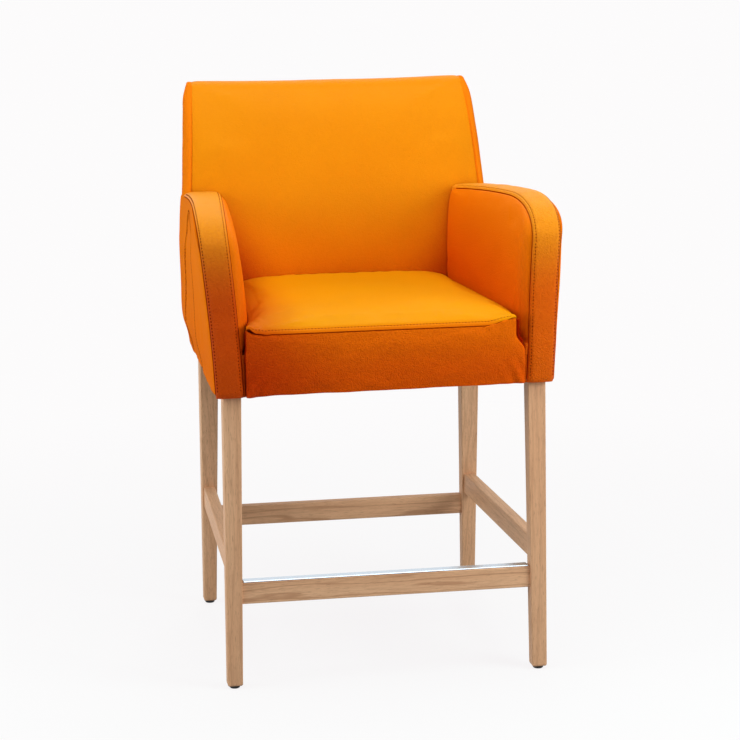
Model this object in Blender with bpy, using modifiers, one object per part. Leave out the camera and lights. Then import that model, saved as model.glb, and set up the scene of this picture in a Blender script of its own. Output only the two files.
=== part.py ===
# Counter stool with arms: four tapered wooden legs with stretchers, and an upholstered tub of
# seat, arms and raked back on a rail frame. Metres, +Z up, +X to the right seen from the front,
# +Y towards the back. The origin is on the floor under the middle of the whole stool.
import bmesh
import bpy
import math
from mathutils import Vector

# Driving dimensions of the frame
SEAT_UNDERSIDE = 0.535
LEG_PITCH_DEPTH = 0.539
FRONT_LEG_SPREAD = 0.576
REAR_LEG_SPREAD = 0.556
FRONT_LEG_TOP = 0.0324
FRONT_LEG_FOOT = 0.0269
FRONT_LEG_SPLAY = 0.006
REAR_LEG_TOP = 0.0367
REAR_LEG_FOOT = 0.025
REAR_LEG_SPLAY = 0.005
REAR_LEG_RAKE = 0.043
LEG_ARRIS = 0.0015
FOOT_CHAMFER = 0.0025
GLIDE_HEIGHT = 0.006
GLIDE_RADIUS = 0.0095
GLIDE_RIM = 0.0015
GLIDE_NAIL_RADIUS = 0.0015
GLIDE_NAIL_LENGTH = 0.012

# Stretchers and the foot plate
FRONT_STRETCHER_BOTTOM = 0.1543
FRONT_STRETCHER_HEIGHT = 0.0387
REAR_STRETCHER_BOTTOM = 0.1606
REAR_STRETCHER_HEIGHT = 0.0384
SIDE_STRETCHER_BOTTOM = 0.2050
SIDE_STRETCHER_HEIGHT = 0.0400
STRETCHER_THICKNESS = 0.022
STRETCHER_SETBACK = 0.007
STRETCHER_TENON_THICKNESS = 0.010
STRETCHER_TENON_LENGTH = 0.014
TENON_SHOULDER = 0.005
PLATE_THICKNESS = 0.002
PLATE_END_GAP = 0.003

# Seat rails, blocks and boards
RAIL_RAISE = 0.002
RAIL_HEIGHT = 0.048
RAIL_THICKNESS = 0.024
RAIL_SETBACK = 0.002
RAIL_TENON_THICKNESS = 0.008
RAIL_TENON_LENGTH = 0.010
BLOCK_REACH = 0.062
BLOCK_DROP = 0.004
BOARD_THICKNESS = 0.012
DUST_COVER_THICKNESS = 0.001
DUST_COVER_MARGIN = 0.008

# Back posts, above the seat rails
BACK_RISE = 0.501
POST_TOP_DROP = 0.034
POST_TOP_WIDTH = 0.030
POST_TOP_DEPTH = 0.026
POST_TOP_INSET = 0.010
BACK_RAIL_THICKNESS = 0.018
BACK_RAIL_HEIGHT = 0.055
BACK_LOW_RAIL_RISE = 0.070
BACK_STRAP_COUNT = 3
BACK_STRAP_WIDTH = 0.060
BACK_STRAP_THICKNESS = 0.002

# Arms: a band of leather as wide as the arm, over a post and a rail, between two side pads
ARM_RISE = 0.321
ARM_BAND_WIDTH = 0.048
ARM_BAND_LIP = 0.0045
ARM_BAND_THICKNESS = 0.0125
ARM_PAD_EDGE = 0.0112
ARM_FLARE_FRONT = 0.0255
ARM_FLARE_REAR = 0.007
ARM_BELLY_REAR = 0.009
ARM_FRONT_LEAN = 0.022
ARM_TOP_FALL = 0.024
ARM_CORNER_RISE = 0.070
ARM_CORNER_RUN = 0.145
ARM_TAPER_IN = 0.048
ARM_INNER_CROWN = 0.0175
ARM_INNER_FRONT_ROLL = 0.030
ARM_INNER_REAR_ROLL = 0.120
ARM_INNER_TOP_ROLL = 0.150
ARM_INNER_TUCK_DROP = 0.015
ARM_INNER_TUCK_ROLL = 0.030
ARM_HEM_WIDTH = 0.004
ARM_HEM_GAP = 0.001
ARM_HEM_ROUND = 0.003
ARM_OUTER_CROWN = 0.004
ARM_FRAME_WIDTH = 0.024
ARM_FRAME_DEPTH = 0.036

# Seat
SEAT_SEAM_RISE = 0.0424
SEAT_RISE = 0.032
SEAT_CROWN_RUN = 0.200
SEAT_CLEAR_FRONT = 0.0203
SEAT_CLEAR_REAR = 0.0095
SEAT_SIDE_DRAW = 0.004
APRON_WIDE_RISE = 0.055
APRON_NARROW_RISE = 0.077
APRON_THICKNESS = 0.0165
APRON_CROWN = 0.004

# Back upholstery
BACK_FACE_INSET = 0.0665
BACK_FACE_RISE = 0.010
BACK_ROLL_START = 0.136
BACK_ROLL = 0.030
BACK_PAD_CROWN = 0.006
BACK_SIDE_COVER = 0.0032
BACK_BOXING = 0.0112
BACK_BOXING_LIP = 0.006
BACK_CORNER_RADIUS = 0.020
REAR_PAD_THICKNESS = 0.012
REAR_PAD_CROWN = 0.003

# Clearances between pieces that touch
GAP = 0.0003
SOFT_GAP = 0.0005
OVERRUN = 0.002

# Shape shares and powers
POST_RAKE_SHARE = 0.272
BACK_FACE_RAKE_SHARE = 0.306
FLARE_EARLY_SHARE = 0.6
CORNER_HANDLE_SHARE = 0.62
CORNER_LEAN_SHARE = 0.20
ROLL_POWER_SHARE = 2.4
PILLOW_POWER_SHARE = 4.0
SEAT_EDGE_SHARE = 0.50
SEAT_REAR_SHARE = 0.92
ARM_FRONT_STRAIGHT_SHARE = 0.72
ARM_TOP_CORNER_SHARE = 0.22
ARM_INNER_REAR_SHARE = 0.43
ARM_INNER_TUCK_SHARE = 0.55
BAND_STOPS_SHARE = (0.0, 0.08, 0.25, 0.5, 0.75, 0.92, 1.0)

# Passes that find where two lines meet
MEETING_PASSES = 6

# Counts of facets
GLIDE_SIDES = 16
NAIL_HOLE_SIDES = 10
ARM_FRONT_STEPS = 5
ARM_CORNER_STEPS = 11
ARM_TOP_STEPS = 6
BACK_SIDE_STEPS = 8
BACK_CORNER_STEPS = 4
BACK_TOP_STEPS = 8
ARM_PAD_COLUMNS, ARM_PAD_ROWS = 14, 12
BACK_PAD_COLUMNS, BACK_PAD_ROWS = 18, 16
REAR_PAD_COLUMNS, REAR_PAD_ROWS = 14, 14
SEAT_COLUMNS, SEAT_ROWS = 20, 16
APRON_COLUMNS, APRON_ROWS = 16, 6

# Levels worked out from the sizes above
LEG_FRONT_Y = -LEG_PITCH_DEPTH / 2
LEG_REAR_Y = LEG_PITCH_DEPTH / 2
RAIL_BOTTOM = SEAT_UNDERSIDE + RAIL_RAISE
RAIL_TOP = RAIL_BOTTOM + RAIL_HEIGHT
BOARD_BOTTOM = RAIL_TOP + GAP
BOARD_TOP = BOARD_BOTTOM + BOARD_THICKNESS
PAD_BOTTOM = BOARD_TOP + GAP
SEAT_SEAM_HEIGHT = PAD_BOTTOM + SEAT_SEAM_RISE
BACK_HEIGHT = SEAT_UNDERSIDE + BACK_RISE
POST_TOP = BACK_HEIGHT - POST_TOP_DROP
ARM_SEAM_TOP = SEAT_UNDERSIDE + ARM_RISE - ARM_BAND_THICKNESS + ARM_BAND_LIP
ARM_EDGE_FRONT = FRONT_LEG_SPREAD / 2 + GAP + ARM_PAD_EDGE
ARM_EDGE_REAR = REAR_LEG_SPREAD / 2 + GAP + ARM_PAD_EDGE
ARM_SEAM_Y = LEG_FRONT_Y - GAP - ARM_BAND_LIP
BACK_PAD_TOP = BACK_HEIGHT - BACK_BOXING - SOFT_GAP
BACK_TOP_HALF = REAR_LEG_SPREAD / 2 - POST_TOP_INSET + BACK_SIDE_COVER
SEAT_FRONT_Y = LEG_FRONT_Y + RAIL_SETBACK - GAP - APRON_THICKNESS


def lerp(a, b, t):
    return a + (b - a) * t


def plan(front, rear, y):
    """A width that changes evenly from the front legs' back face to the rear legs' back face."""
    return lerp(front, rear, (y - LEG_FRONT_Y - FRONT_LEG_TOP) / (LEG_PITCH_DEPTH - FRONT_LEG_TOP))


# Scene, collections and materials


def clear_scene():
    for old in list(bpy.data.objects):
        bpy.data.objects.remove(old, do_unlink=True)


def new_collection(name):
    made = bpy.data.collections.new(name)
    bpy.context.scene.collection.children.link(made)
    return made


def material(name, colour, roughness, metallic=0.0):
    made = bpy.data.materials.new(name)
    made.use_nodes = True
    shader = made.node_tree.nodes["Principled BSDF"]
    shader.inputs["Base Color"].default_value = (*colour, 1.0)
    shader.inputs["Roughness"].default_value = roughness
    shader.inputs["Metallic"].default_value = metallic
    made.diffuse_color = (*colour, 1.0)
    return made


clear_scene()
PARTS = new_collection("counter_stool")
CUTTERS = new_collection("cutters")
ROOT = bpy.data.objects.new("stool_origin", None)
PARTS.objects.link(ROOT)

LEATHER = material("orange_leather", (0.87, 0.28, 0.01), 0.45)
OAK = material("stained_oak", (0.48, 0.30, 0.18), 0.5)
INNER_WOOD = material("frame_beech", (0.55, 0.37, 0.21), 0.7)
PLYWOOD = material("plywood", (0.62, 0.45, 0.27), 0.7)
STEEL = material("stainless_steel", (0.72, 0.73, 0.74), 0.25, 1.0)
GLIDE = material("black_glide", (0.02, 0.02, 0.02), 0.45)
FELT = material("black_cover", (0.02, 0.02, 0.022), 0.9)
WEBBING = material("webbing", (0.10, 0.09, 0.08), 0.85)


# Mesh helpers


def add_mesh(name, bm, mat):
    """Makes an object of a closed mesh, with its faces turned outwards."""
    bmesh.ops.recalc_face_normals(bm, faces=bm.faces)
    mesh = bpy.data.meshes.new(name)
    bm.to_mesh(mesh)
    bm.free()
    mesh.materials.append(mat)
    made = bpy.data.objects.new(name, mesh)
    made.parent = ROOT
    PARTS.objects.link(made)
    return made


def smooth(target, angle=math.radians(35)):
    target.data.shade_smooth()
    target.data.set_sharp_from_angle(angle=angle)
    return target


def fill_loft(bm, rings):
    """A skin through rings of as many points each, closed with a face at both ends."""
    rows = [[bm.verts.new(p) for p in ring] for ring in rings]
    for low, high in zip(rows, rows[1:]):
        for i, vert in enumerate(low):
            j = (i + 1) % len(low)
            bm.faces.new((vert, low[j], high[j], high[i]))
    bm.faces.new(rows[0])
    bm.faces.new(rows[-1])


def loft(name, rings, mat):
    bm = bmesh.new()
    fill_loft(bm, rings)
    return add_mesh(name, bm, mat)


def mirrored(rings, side):
    """The rings of a piece on the right (side 1) or the left (side -1)."""
    return [[Vector((side * p[0], p[1], p[2])) for p in ring] for ring in rings]


def rectangle(width, depth, arris):
    """Corner points of a rectangle with chamfered arrises, around its own middle."""
    a, b = width / 2, depth / 2
    points = []
    for sx, sy in ((1, -1), (1, 1), (-1, 1), (-1, -1)):
        along = (sx * a, sy * (b - arris))
        across = (sx * (a - arris), sy * b)
        points += [across, along] if sx * sy < 0 else [along, across]
    return points


def cutter(name, rings):
    """A hidden solid that is cut out of other pieces."""
    made = loft(name, rings, GLIDE)
    PARTS.objects.unlink(made)
    CUTTERS.objects.link(made)
    made.display_type = "WIRE"
    made.hide_render = True
    return made


def cut(target, tool):
    cutting = target.modifiers.new(tool.name, "BOOLEAN")
    cutting.operation = "DIFFERENCE"
    cutting.solver = "EXACT"
    cutting.object = tool


def slab(name, outline, bottom, thickness, mat):
    """A flat piece: a closed outline in plan, filled and extruded upwards."""
    curve = bpy.data.curves.new(name, "CURVE")
    curve.dimensions = "2D"
    curve.fill_mode = "BOTH"
    curve.extrude = thickness / 2
    line = curve.splines.new("POLY")
    line.points.add(len(outline) - 1)
    for point, (x, y) in zip(line.points, outline):
        point.co = (x, y, 0, 1)
    line.use_cyclic_u = True
    shape = bpy.data.objects.new(name + "_outline", curve)
    shape.location = (0, 0, bottom + thickness / 2)
    bpy.context.scene.collection.objects.link(shape)
    bpy.context.view_layer.update()
    mesh = bpy.data.meshes.new_from_object(shape.evaluated_get(bpy.context.evaluated_depsgraph_get()))
    bm = bmesh.new()
    bm.from_mesh(mesh)
    bmesh.ops.remove_doubles(bm, verts=bm.verts, dist=GAP / 10)
    bm.transform(shape.matrix_world)
    bpy.data.objects.remove(shape, do_unlink=True)
    bpy.data.meshes.remove(mesh)
    return add_mesh(name, bm, mat)


def stops(count, *extra):
    """Shares of a side, closer together towards both ends, with extra ones where a line bends."""
    even = [(1 - math.cos(math.pi * i / count)) / 2 for i in range(count + 1)]
    return sorted(even + list(extra))


def pillow(u, v):
    """Height share of a padded panel: nothing at its seams, full in the middle."""
    across = 1 - abs(2 * u - 1) ** PILLOW_POWER_SHARE
    along = 1 - abs(2 * v - 1) ** PILLOW_POWER_SHARE
    return math.sqrt(max(across * along, 0))


def padded_panel(name, us, vs, front, back, mat):
    """A padded piece between a visible face and a back face, both given over the unit square."""
    bm = bmesh.new()
    columns, rows = len(us) - 1, len(vs) - 1
    face = [[bm.verts.new(front(u, v)) for u in us] for v in vs]
    rear = [[bm.verts.new(back(u, v)) for u in us] for v in vs]
    for j in range(rows):
        for i in range(columns):
            bm.faces.new((face[j][i], face[j][i + 1], face[j + 1][i + 1], face[j + 1][i]))
            bm.faces.new((rear[j][i], rear[j + 1][i], rear[j + 1][i + 1], rear[j][i + 1]))
    rim = [(0, i) for i in range(columns)] + [(j, columns) for j in range(rows)]
    rim += [(rows, i) for i in range(columns, 0, -1)] + [(j, 0) for j in range(rows, 0, -1)]
    for (j, i), (m, n) in zip(rim, rim[1:] + rim[:1]):
        bm.faces.new((face[j][i], rear[j][i], rear[m][n], face[m][n]))
    return smooth(add_mesh(name, bm, mat))


def coons(bottom, top, front, rear):
    """A point inside four edge curves, blended from all of them."""
    def place(u, v):
        ruled_up = lerp(bottom(u), top(u), v)
        ruled_across = lerp(front(v), rear(v), u)
        corners = lerp(lerp(bottom(0), bottom(1), u), lerp(top(0), top(1), u), v)
        return ruled_up + ruled_across - corners
    return place


# Legs


def front_leg_at(z):
    """Centre and width of the right front leg at a height. Its front face is plumb."""
    t = min(z / SEAT_UNDERSIDE, 1)
    width = lerp(FRONT_LEG_FOOT, FRONT_LEG_TOP, t)
    x = FRONT_LEG_SPREAD / 2 - FRONT_LEG_TOP / 2 + FRONT_LEG_SPLAY * (1 - t)
    return x, LEG_FRONT_Y + width / 2, width, width


def post_lean(z):
    """How far the raked post lies behind the plumb part of its leg, at a height."""
    return POST_RAKE_SHARE * max(z - RAIL_TOP, 0)


def rear_leg_at(z):
    """Centre and size of the right rear leg at a height: raked foot, plumb seat block, raked post."""
    if z <= RAIL_TOP:
        t = min(z / SEAT_UNDERSIDE, 1)
        width = lerp(REAR_LEG_FOOT, REAR_LEG_TOP, t)
        x = REAR_LEG_SPREAD / 2 - REAR_LEG_TOP / 2 + REAR_LEG_SPLAY * (1 - t)
        y = LEG_REAR_Y - REAR_LEG_TOP / 2 + REAR_LEG_RAKE * (1 - t)
        return x, y, width, width
    t = (z - RAIL_TOP) / (POST_TOP - RAIL_TOP)
    width = lerp(REAR_LEG_TOP, POST_TOP_WIDTH, t)
    depth = lerp(REAR_LEG_TOP, POST_TOP_DEPTH, t)
    x = REAR_LEG_SPREAD / 2 - POST_TOP_INSET * t - width / 2
    return x, LEG_REAR_Y + post_lean(z) - depth / 2, width, depth


def leg_ring(leg_at, z, inset=0.0):
    x, y, width, depth = leg_at(z)
    section = rectangle(width - 2 * inset, depth - 2 * inset, LEG_ARRIS)
    return [Vector((x + px, y + py, z)) for px, py in section]


def leg(name, leg_at, tops, side):
    rings = [leg_ring(leg_at, GLIDE_HEIGHT, FOOT_CHAMFER / 2)]
    rings += [leg_ring(leg_at, z) for z in (GLIDE_HEIGHT + FOOT_CHAMFER, SEAT_UNDERSIDE, *tops)]
    return loft(name, mirrored(rings, side), OAK)


def glide(name, leg_at, side):
    """A nailed glide: a turned disc with a rounded rim under the foot, and its nail in the wood."""
    x, y, _, _ = leg_at(GLIDE_HEIGHT)
    profile = ((GLIDE_RADIUS - GLIDE_RIM, 0), (GLIDE_RADIUS, GLIDE_RIM), (GLIDE_RADIUS, GLIDE_HEIGHT - GAP),
               (GLIDE_NAIL_RADIUS, GLIDE_HEIGHT - GAP), (GLIDE_NAIL_RADIUS, GLIDE_HEIGHT + GLIDE_NAIL_LENGTH))
    rings = [circle(x, y, z, radius, GLIDE_SIDES) for radius, z in profile]
    return smooth(loft(name, mirrored(rings, side), GLIDE))


def circle(x, y, z, radius, sides):
    turns = [2 * math.pi * i / sides for i in range(sides)]
    return [Vector((x + radius * math.cos(a), y + radius * math.sin(a), z)) for a in turns]


def nail_hole(leg_at, side):
    x, y, _, _ = leg_at(GLIDE_HEIGHT)
    heights = (0, GLIDE_HEIGHT + GLIDE_NAIL_LENGTH + GAP)
    rings = [circle(x, y, z, GLIDE_NAIL_RADIUS + GAP, NAIL_HOLE_SIDES) for z in heights]
    return mirrored(rings, side)


# Rails and stretchers: bars with a stub tenon at both ends


def bar_ring(place, low, high, inner, outer, arris):
    """A ring across a bar. place(a, b) puts the share a across and the height b at the leg's face."""
    middle_a, middle_b = (inner + outer) / 2, (low + high) / 2
    section = rectangle(abs(outer - inner), high - low, arris)
    return [place(middle_a + a, middle_b + b) for a, b in section]


def grown(size, growth):
    return size[0] - growth, size[1] + growth, size[2] - growth, size[3] + growth


def tenoned_bar(name, ends, mat, arris):
    """A bar between two shoulders. Each end gives its shoulder, its tenon and how the tenon runs in."""
    rings = []
    for number, (place, body, tenon, step) in enumerate(ends):
        shoulder = bar_ring(place, *body, arris)
        root = bar_ring(place, *tenon, arris)
        tip = [p + step for p in root]
        rings += [tip, root, shoulder] if number == 0 else [shoulder, root, tip]
    return loft(name, rings, mat)


def mortise(name, end, arris):
    place, _, tenon, step = end
    root = bar_ring(place, *grown(tenon, GAP), arris)
    reach = step.normalized()
    return cutter(name, [[p - reach * OVERRUN for p in root], [p + step + reach * GAP for p in root]])


def cross_ends(leg_at, low, height, front_at, thickness, tenon_thickness, tenon_length):
    """Both ends of a bar from the left leg to the right leg. front_at gives its front face at a height."""
    def end(side):
        def place(a, b):
            x, _, width, _ = leg_at(b)
            return Vector((side * (x - width / 2 - GAP), front_at(b) + a, b))
        body = (low, low + height, 0, thickness)
        tenon = (low + TENON_SHOULDER, low + height - TENON_SHOULDER,
                 (thickness - tenon_thickness) / 2, (thickness + tenon_thickness) / 2)
        return place, body, tenon, Vector((side * tenon_length, 0, 0))
    return end(-1), end(1)


def side_ends(low, height, thickness, middle_at, tenon_thickness, tenon_length, side):
    """Both ends of a bar from a front leg's back face to a rear leg's front face."""
    def end(face_at, step):
        def place(a, b):
            y = face_at(b)
            return Vector((side * (middle_at(y) + a), y, b))
        body = (low, low + height, -thickness / 2, thickness / 2)
        tenon = (low + TENON_SHOULDER, low + height - TENON_SHOULDER, -tenon_thickness / 2, tenon_thickness / 2)
        return place, body, tenon, Vector((0, step, 0))

    def behind_front_leg(z):
        _, y, _, depth = front_leg_at(z)
        return y + depth / 2 + GAP

    def before_rear_leg(z):
        return rear_leg_face(z) - GAP
    return end(behind_front_leg, -tenon_length), end(before_rear_leg, tenon_length)


def rear_leg_face(z):
    """Front face of the rear leg and its post."""
    _, y, _, depth = rear_leg_at(z)
    return y - depth / 2


def rail_middle(y):
    """Middle of a side rail, set back from the legs' outer faces."""
    return plan(FRONT_LEG_SPREAD, REAR_LEG_SPREAD, y) / 2 - RAIL_SETBACK - RAIL_THICKNESS / 2


def side_stretcher_middle(y):
    z = SIDE_STRETCHER_BOTTOM + SIDE_STRETCHER_HEIGHT / 2
    front_x, front_y, _, _ = front_leg_at(z)
    rear_x, rear_y, _, _ = rear_leg_at(z)
    return lerp(front_x, rear_x, (y - front_y) / (rear_y - front_y))


LEGS = {}
for side, side_name in ((-1, "left"), (1, "right")):
    LEGS["front", side] = leg("front_leg_" + side_name, front_leg_at, (RAIL_TOP,), side)
    LEGS["rear", side] = leg("rear_leg_" + side_name, rear_leg_at, (RAIL_TOP, POST_TOP), side)
    for row, leg_at in (("front", front_leg_at), ("rear", rear_leg_at)):
        glide("_".join((row, "glide", side_name)), leg_at, side)
        cut(LEGS[row, side], cutter("_".join((row, "nail_hole", side_name)), nail_hole(leg_at, side)))


def join_bar(name, ends, legs, mat, arris):
    tenoned_bar(name, ends, mat, arris)
    for number, (end, target) in enumerate(zip(ends, legs)):
        cut(target, mortise(name + "_mortise_" + str(number + 1), end, arris))


def join_cross_bar(name, row, low, height, front_at, mat, sizes):
    thickness, tenon_thickness, tenon_length = sizes
    leg_at = front_leg_at if row == "front" else rear_leg_at
    ends = cross_ends(leg_at, low, height, front_at, thickness, tenon_thickness, tenon_length)
    join_bar(name, ends, (LEGS[row, -1], LEGS[row, 1]), mat, LEG_ARRIS)


def join_side_bar(name, side, low, height, middle_at, mat, sizes):
    thickness, tenon_thickness, tenon_length = sizes
    ends = side_ends(low, height, thickness, middle_at, tenon_thickness, tenon_length, side)
    join_bar(name, ends, (LEGS["front", side], LEGS["rear", side]), mat, LEG_ARRIS)


def front_stretcher_face(_):
    return LEG_FRONT_Y + STRETCHER_SETBACK


def rear_stretcher_face(_):
    return rear_leg_face(REAR_STRETCHER_BOTTOM + REAR_STRETCHER_HEIGHT / 2) + STRETCHER_SETBACK


def front_rail_face(_):
    return LEG_FRONT_Y + RAIL_SETBACK


def rear_rail_face(_):
    return LEG_REAR_Y - RAIL_SETBACK - RAIL_THICKNESS


def back_rail_face(z):
    """The back rails lie behind the posts' front faces by the thickness of the straps on them."""
    return rear_leg_face(z) + BACK_STRAP_THICKNESS + GAP


STRETCHER_SIZES = (STRETCHER_THICKNESS, STRETCHER_TENON_THICKNESS, STRETCHER_TENON_LENGTH)
RAIL_SIZES = (RAIL_THICKNESS, RAIL_TENON_THICKNESS, RAIL_TENON_LENGTH)
BACK_RAIL_SIZES = (BACK_RAIL_THICKNESS, RAIL_TENON_THICKNESS, RAIL_TENON_LENGTH)
BACK_LOW_RAIL = RAIL_TOP + BACK_LOW_RAIL_RISE
BACK_TOP_RAIL = POST_TOP - BACK_RAIL_HEIGHT - TENON_SHOULDER

join_cross_bar("front_stretcher", "front", FRONT_STRETCHER_BOTTOM, FRONT_STRETCHER_HEIGHT,
               front_stretcher_face, OAK, STRETCHER_SIZES)
join_cross_bar("rear_stretcher", "rear", REAR_STRETCHER_BOTTOM, REAR_STRETCHER_HEIGHT,
               rear_stretcher_face, OAK, STRETCHER_SIZES)
join_cross_bar("front_rail", "front", RAIL_BOTTOM, RAIL_HEIGHT, front_rail_face, INNER_WOOD, RAIL_SIZES)
join_cross_bar("rear_rail", "rear", RAIL_BOTTOM, RAIL_HEIGHT, rear_rail_face, INNER_WOOD, RAIL_SIZES)
join_cross_bar("back_low_rail", "rear", BACK_LOW_RAIL, BACK_RAIL_HEIGHT, back_rail_face, INNER_WOOD,
               BACK_RAIL_SIZES)
join_cross_bar("back_top_rail", "rear", BACK_TOP_RAIL, BACK_RAIL_HEIGHT, back_rail_face, INNER_WOOD,
               BACK_RAIL_SIZES)
for side, side_name in ((-1, "left"), (1, "right")):
    join_side_bar("side_stretcher_" + side_name, side, SIDE_STRETCHER_BOTTOM, SIDE_STRETCHER_HEIGHT,
                  side_stretcher_middle, OAK, STRETCHER_SIZES)
    join_side_bar("side_rail_" + side_name, side, RAIL_BOTTOM, RAIL_HEIGHT, rail_middle, INNER_WOOD, RAIL_SIZES)


# Foot plate on the front stretcher


def foot_plate():
    """A polished strip on top of the front stretcher, with a small gap to each leg."""
    bottom = FRONT_STRETCHER_BOTTOM + FRONT_STRETCHER_HEIGHT + GAP
    x, _, width, _ = front_leg_at(bottom)
    half = x - width / 2 - PLATE_END_GAP
    front = front_stretcher_face(bottom) + LEG_ARRIS / 2
    rear = front + STRETCHER_THICKNESS - LEG_ARRIS
    outline = [(-half, front), (half, front), (half, rear), (-half, rear)]
    plate = slab("foot_plate", outline, bottom, PLATE_THICKNESS, STEEL)
    edges = plate.modifiers.new("edges", "BEVEL")
    edges.width = PLATE_THICKNESS / 4
    edges.segments = 1


foot_plate()


# Corner blocks, seat board and dust cover


def leg_corner(row, z):
    """Inner corner of a leg in plan, with the gap that the pieces notched round it keep."""
    x, y, width, depth = front_leg_at(z) if row == "front" else rear_leg_at(z)
    return x - width / 2 - GAP, y + (depth / 2 + GAP) * (1 if row == "front" else -1)


def corner_block(name, side, row):
    """A glued block in a corner of the rails, notched round the leg."""
    inwards = 1 if row == "front" else -1
    rail_y = (front_rail_face(0) + RAIL_THICKNESS + GAP) if row == "front" else rear_rail_face(0) - GAP
    leg_x, leg_y = leg_corner(row, RAIL_TOP)
    far_y = rail_y + inwards * BLOCK_REACH

    def rail_x(y):
        return rail_middle(y) - RAIL_THICKNESS / 2 - GAP
    outline = [(leg_x - BLOCK_REACH, rail_y), (leg_x, rail_y), (leg_x, leg_y),
               (rail_x(leg_y), leg_y), (rail_x(far_y), far_y)]
    outline = [(side * px, py) for px, py in outline]
    slab(name, outline, RAIL_BOTTOM + BLOCK_DROP, RAIL_HEIGHT - 2 * BLOCK_DROP, INNER_WOOD)


def both_sides(half):
    """A closed outline in plan from its right half, listed from the front to the rear."""
    return half + [(-x, y) for x, y in reversed(half)]


def seat_board():
    """The plywood seat board on the four rails, notched round the arm frames and the rear legs."""
    frame_y = LEG_FRONT_Y + ARM_FRAME_DEPTH + GAP
    frame_x = arm_frame_faces(frame_y, BOARD_BOTTOM)[0] - GAP
    leg_x, leg_y = leg_corner("rear", RAIL_TOP)
    half = [(frame_x, front_rail_face(0)), (frame_x, frame_y),
            (rail_middle(frame_y) + RAIL_THICKNESS / 2, frame_y),
            (rail_middle(leg_y) + RAIL_THICKNESS / 2, leg_y),
            (leg_x, leg_y), (leg_x, rear_rail_face(0) + RAIL_THICKNESS)]
    slab("seat_board", both_sides(half), BOARD_BOTTOM, BOARD_THICKNESS, PLYWOOD)


def dust_cover():
    """Black cover stapled under the rails, cut out round the four legs."""
    edge = RAIL_THICKNESS / 2 - DUST_COVER_MARGIN
    front_x, front_y = leg_corner("front", RAIL_BOTTOM)
    rear_x, rear_y = leg_corner("rear", RAIL_BOTTOM)
    half = [(front_x, front_rail_face(0) + DUST_COVER_MARGIN), (front_x, front_y),
            (rail_middle(front_y) + edge, front_y), (rail_middle(rear_y) + edge, rear_y),
            (rear_x, rear_y), (rear_x, rear_rail_face(0) + RAIL_THICKNESS - DUST_COVER_MARGIN)]
    bottom = RAIL_BOTTOM - GAP - DUST_COVER_THICKNESS
    slab("dust_cover", both_sides(half), bottom, DUST_COVER_THICKNESS, FELT)


# Arm geometry, on the right side


def arm_height_share(z):
    return min(max((z - SEAT_UNDERSIDE) / (ARM_SEAM_TOP - SEAT_UNDERSIDE), 0), 1)


def arm_flare(z):
    """Share of the outward flare reached at a height."""
    s = arm_height_share(z)
    return FLARE_EARLY_SHARE * s + (1 - FLARE_EARLY_SHARE) * s * s


def outer_seam_x(y, z):
    """Outer side of the tub: flared at the front of the arms, with a belly at the rear corners."""
    front = ARM_EDGE_FRONT + ARM_FLARE_FRONT * arm_flare(z)
    belly = ARM_BELLY_REAR * math.sin(math.pi * arm_height_share(z))
    rear = ARM_EDGE_REAR + ARM_FLARE_REAR * arm_flare(z) + belly
    return plan(front, rear, y)


def inner_seam_x(y, z):
    """The inner seam runs parallel to the outer one at the front and swings inwards to the rear."""
    front = ARM_EDGE_FRONT - ARM_BAND_WIDTH + ARM_FLARE_FRONT * arm_flare(z)
    return front - ARM_TAPER_IN * (y - LEG_FRONT_Y) / LEG_PITCH_DEPTH


def arm_frame_faces(y, z):
    """Inner and outer face of the wooden arm frame, from the arm's front to the middle of the post."""
    front = outer_seam_x(LEG_FRONT_Y, z) - ARM_PAD_EDGE - GAP
    rear = rear_leg_at(z)[0] + ARM_FRAME_WIDTH / 2
    outer = lerp(front, rear, (y - LEG_FRONT_Y) / LEG_PITCH_DEPTH)
    return outer - ARM_FRAME_WIDTH, outer


def arm_points(offset):
    """Foot, knee, bend, corner and peak of the arm's outline as (y, z), moved inwards by an offset."""
    foot = Vector((ARM_SEAM_Y + offset, SEAT_UNDERSIDE))
    knee = Vector((ARM_SEAM_Y + offset, PAD_BOTTOM))
    bend = Vector((foot[0] + ARM_FRONT_LEAN, ARM_SEAM_TOP - ARM_CORNER_RISE))
    corner = Vector((bend[0] + ARM_FRONT_LEAN * CORNER_LEAN_SHARE, ARM_SEAM_TOP - offset))
    peak = Vector((ARM_SEAM_Y + ARM_FRONT_LEAN + ARM_CORNER_RUN, ARM_SEAM_TOP - offset))
    return foot, knee, bend, corner, peak


def bezier(a, b, c, d, t):
    s = 1 - t
    return a * s ** 3 + b * 3 * s * s * t + c * 3 * s * t * t + d * t ** 3


def arm_corner(offset, t):
    """The rounded front top corner of the arm."""
    _, _, bend, corner, peak = arm_points(offset)
    low, high = bend.lerp(corner, CORNER_HANDLE_SHARE), peak.lerp(corner, CORNER_HANDLE_SHARE)
    return bezier(bend, low, high, peak, t)


def back_face_y(z):
    """Front face of the back cushion at its side seams: raked, then rolled back at the top."""
    roll = max(z - (BACK_PAD_TOP - BACK_ROLL_START), 0) / BACK_ROLL_START
    rise = z - SEAT_SEAM_HEIGHT - BACK_FACE_RISE
    return LEG_REAR_Y - BACK_FACE_INSET + BACK_FACE_RAKE_SHARE * rise + BACK_ROLL * roll ** ROLL_POWER_SHARE


def arm_end_y(z):
    """Where the arm meets the front of the back cushion."""
    return back_face_y(z) - BACK_PAD_CROWN - SOFT_GAP


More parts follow.
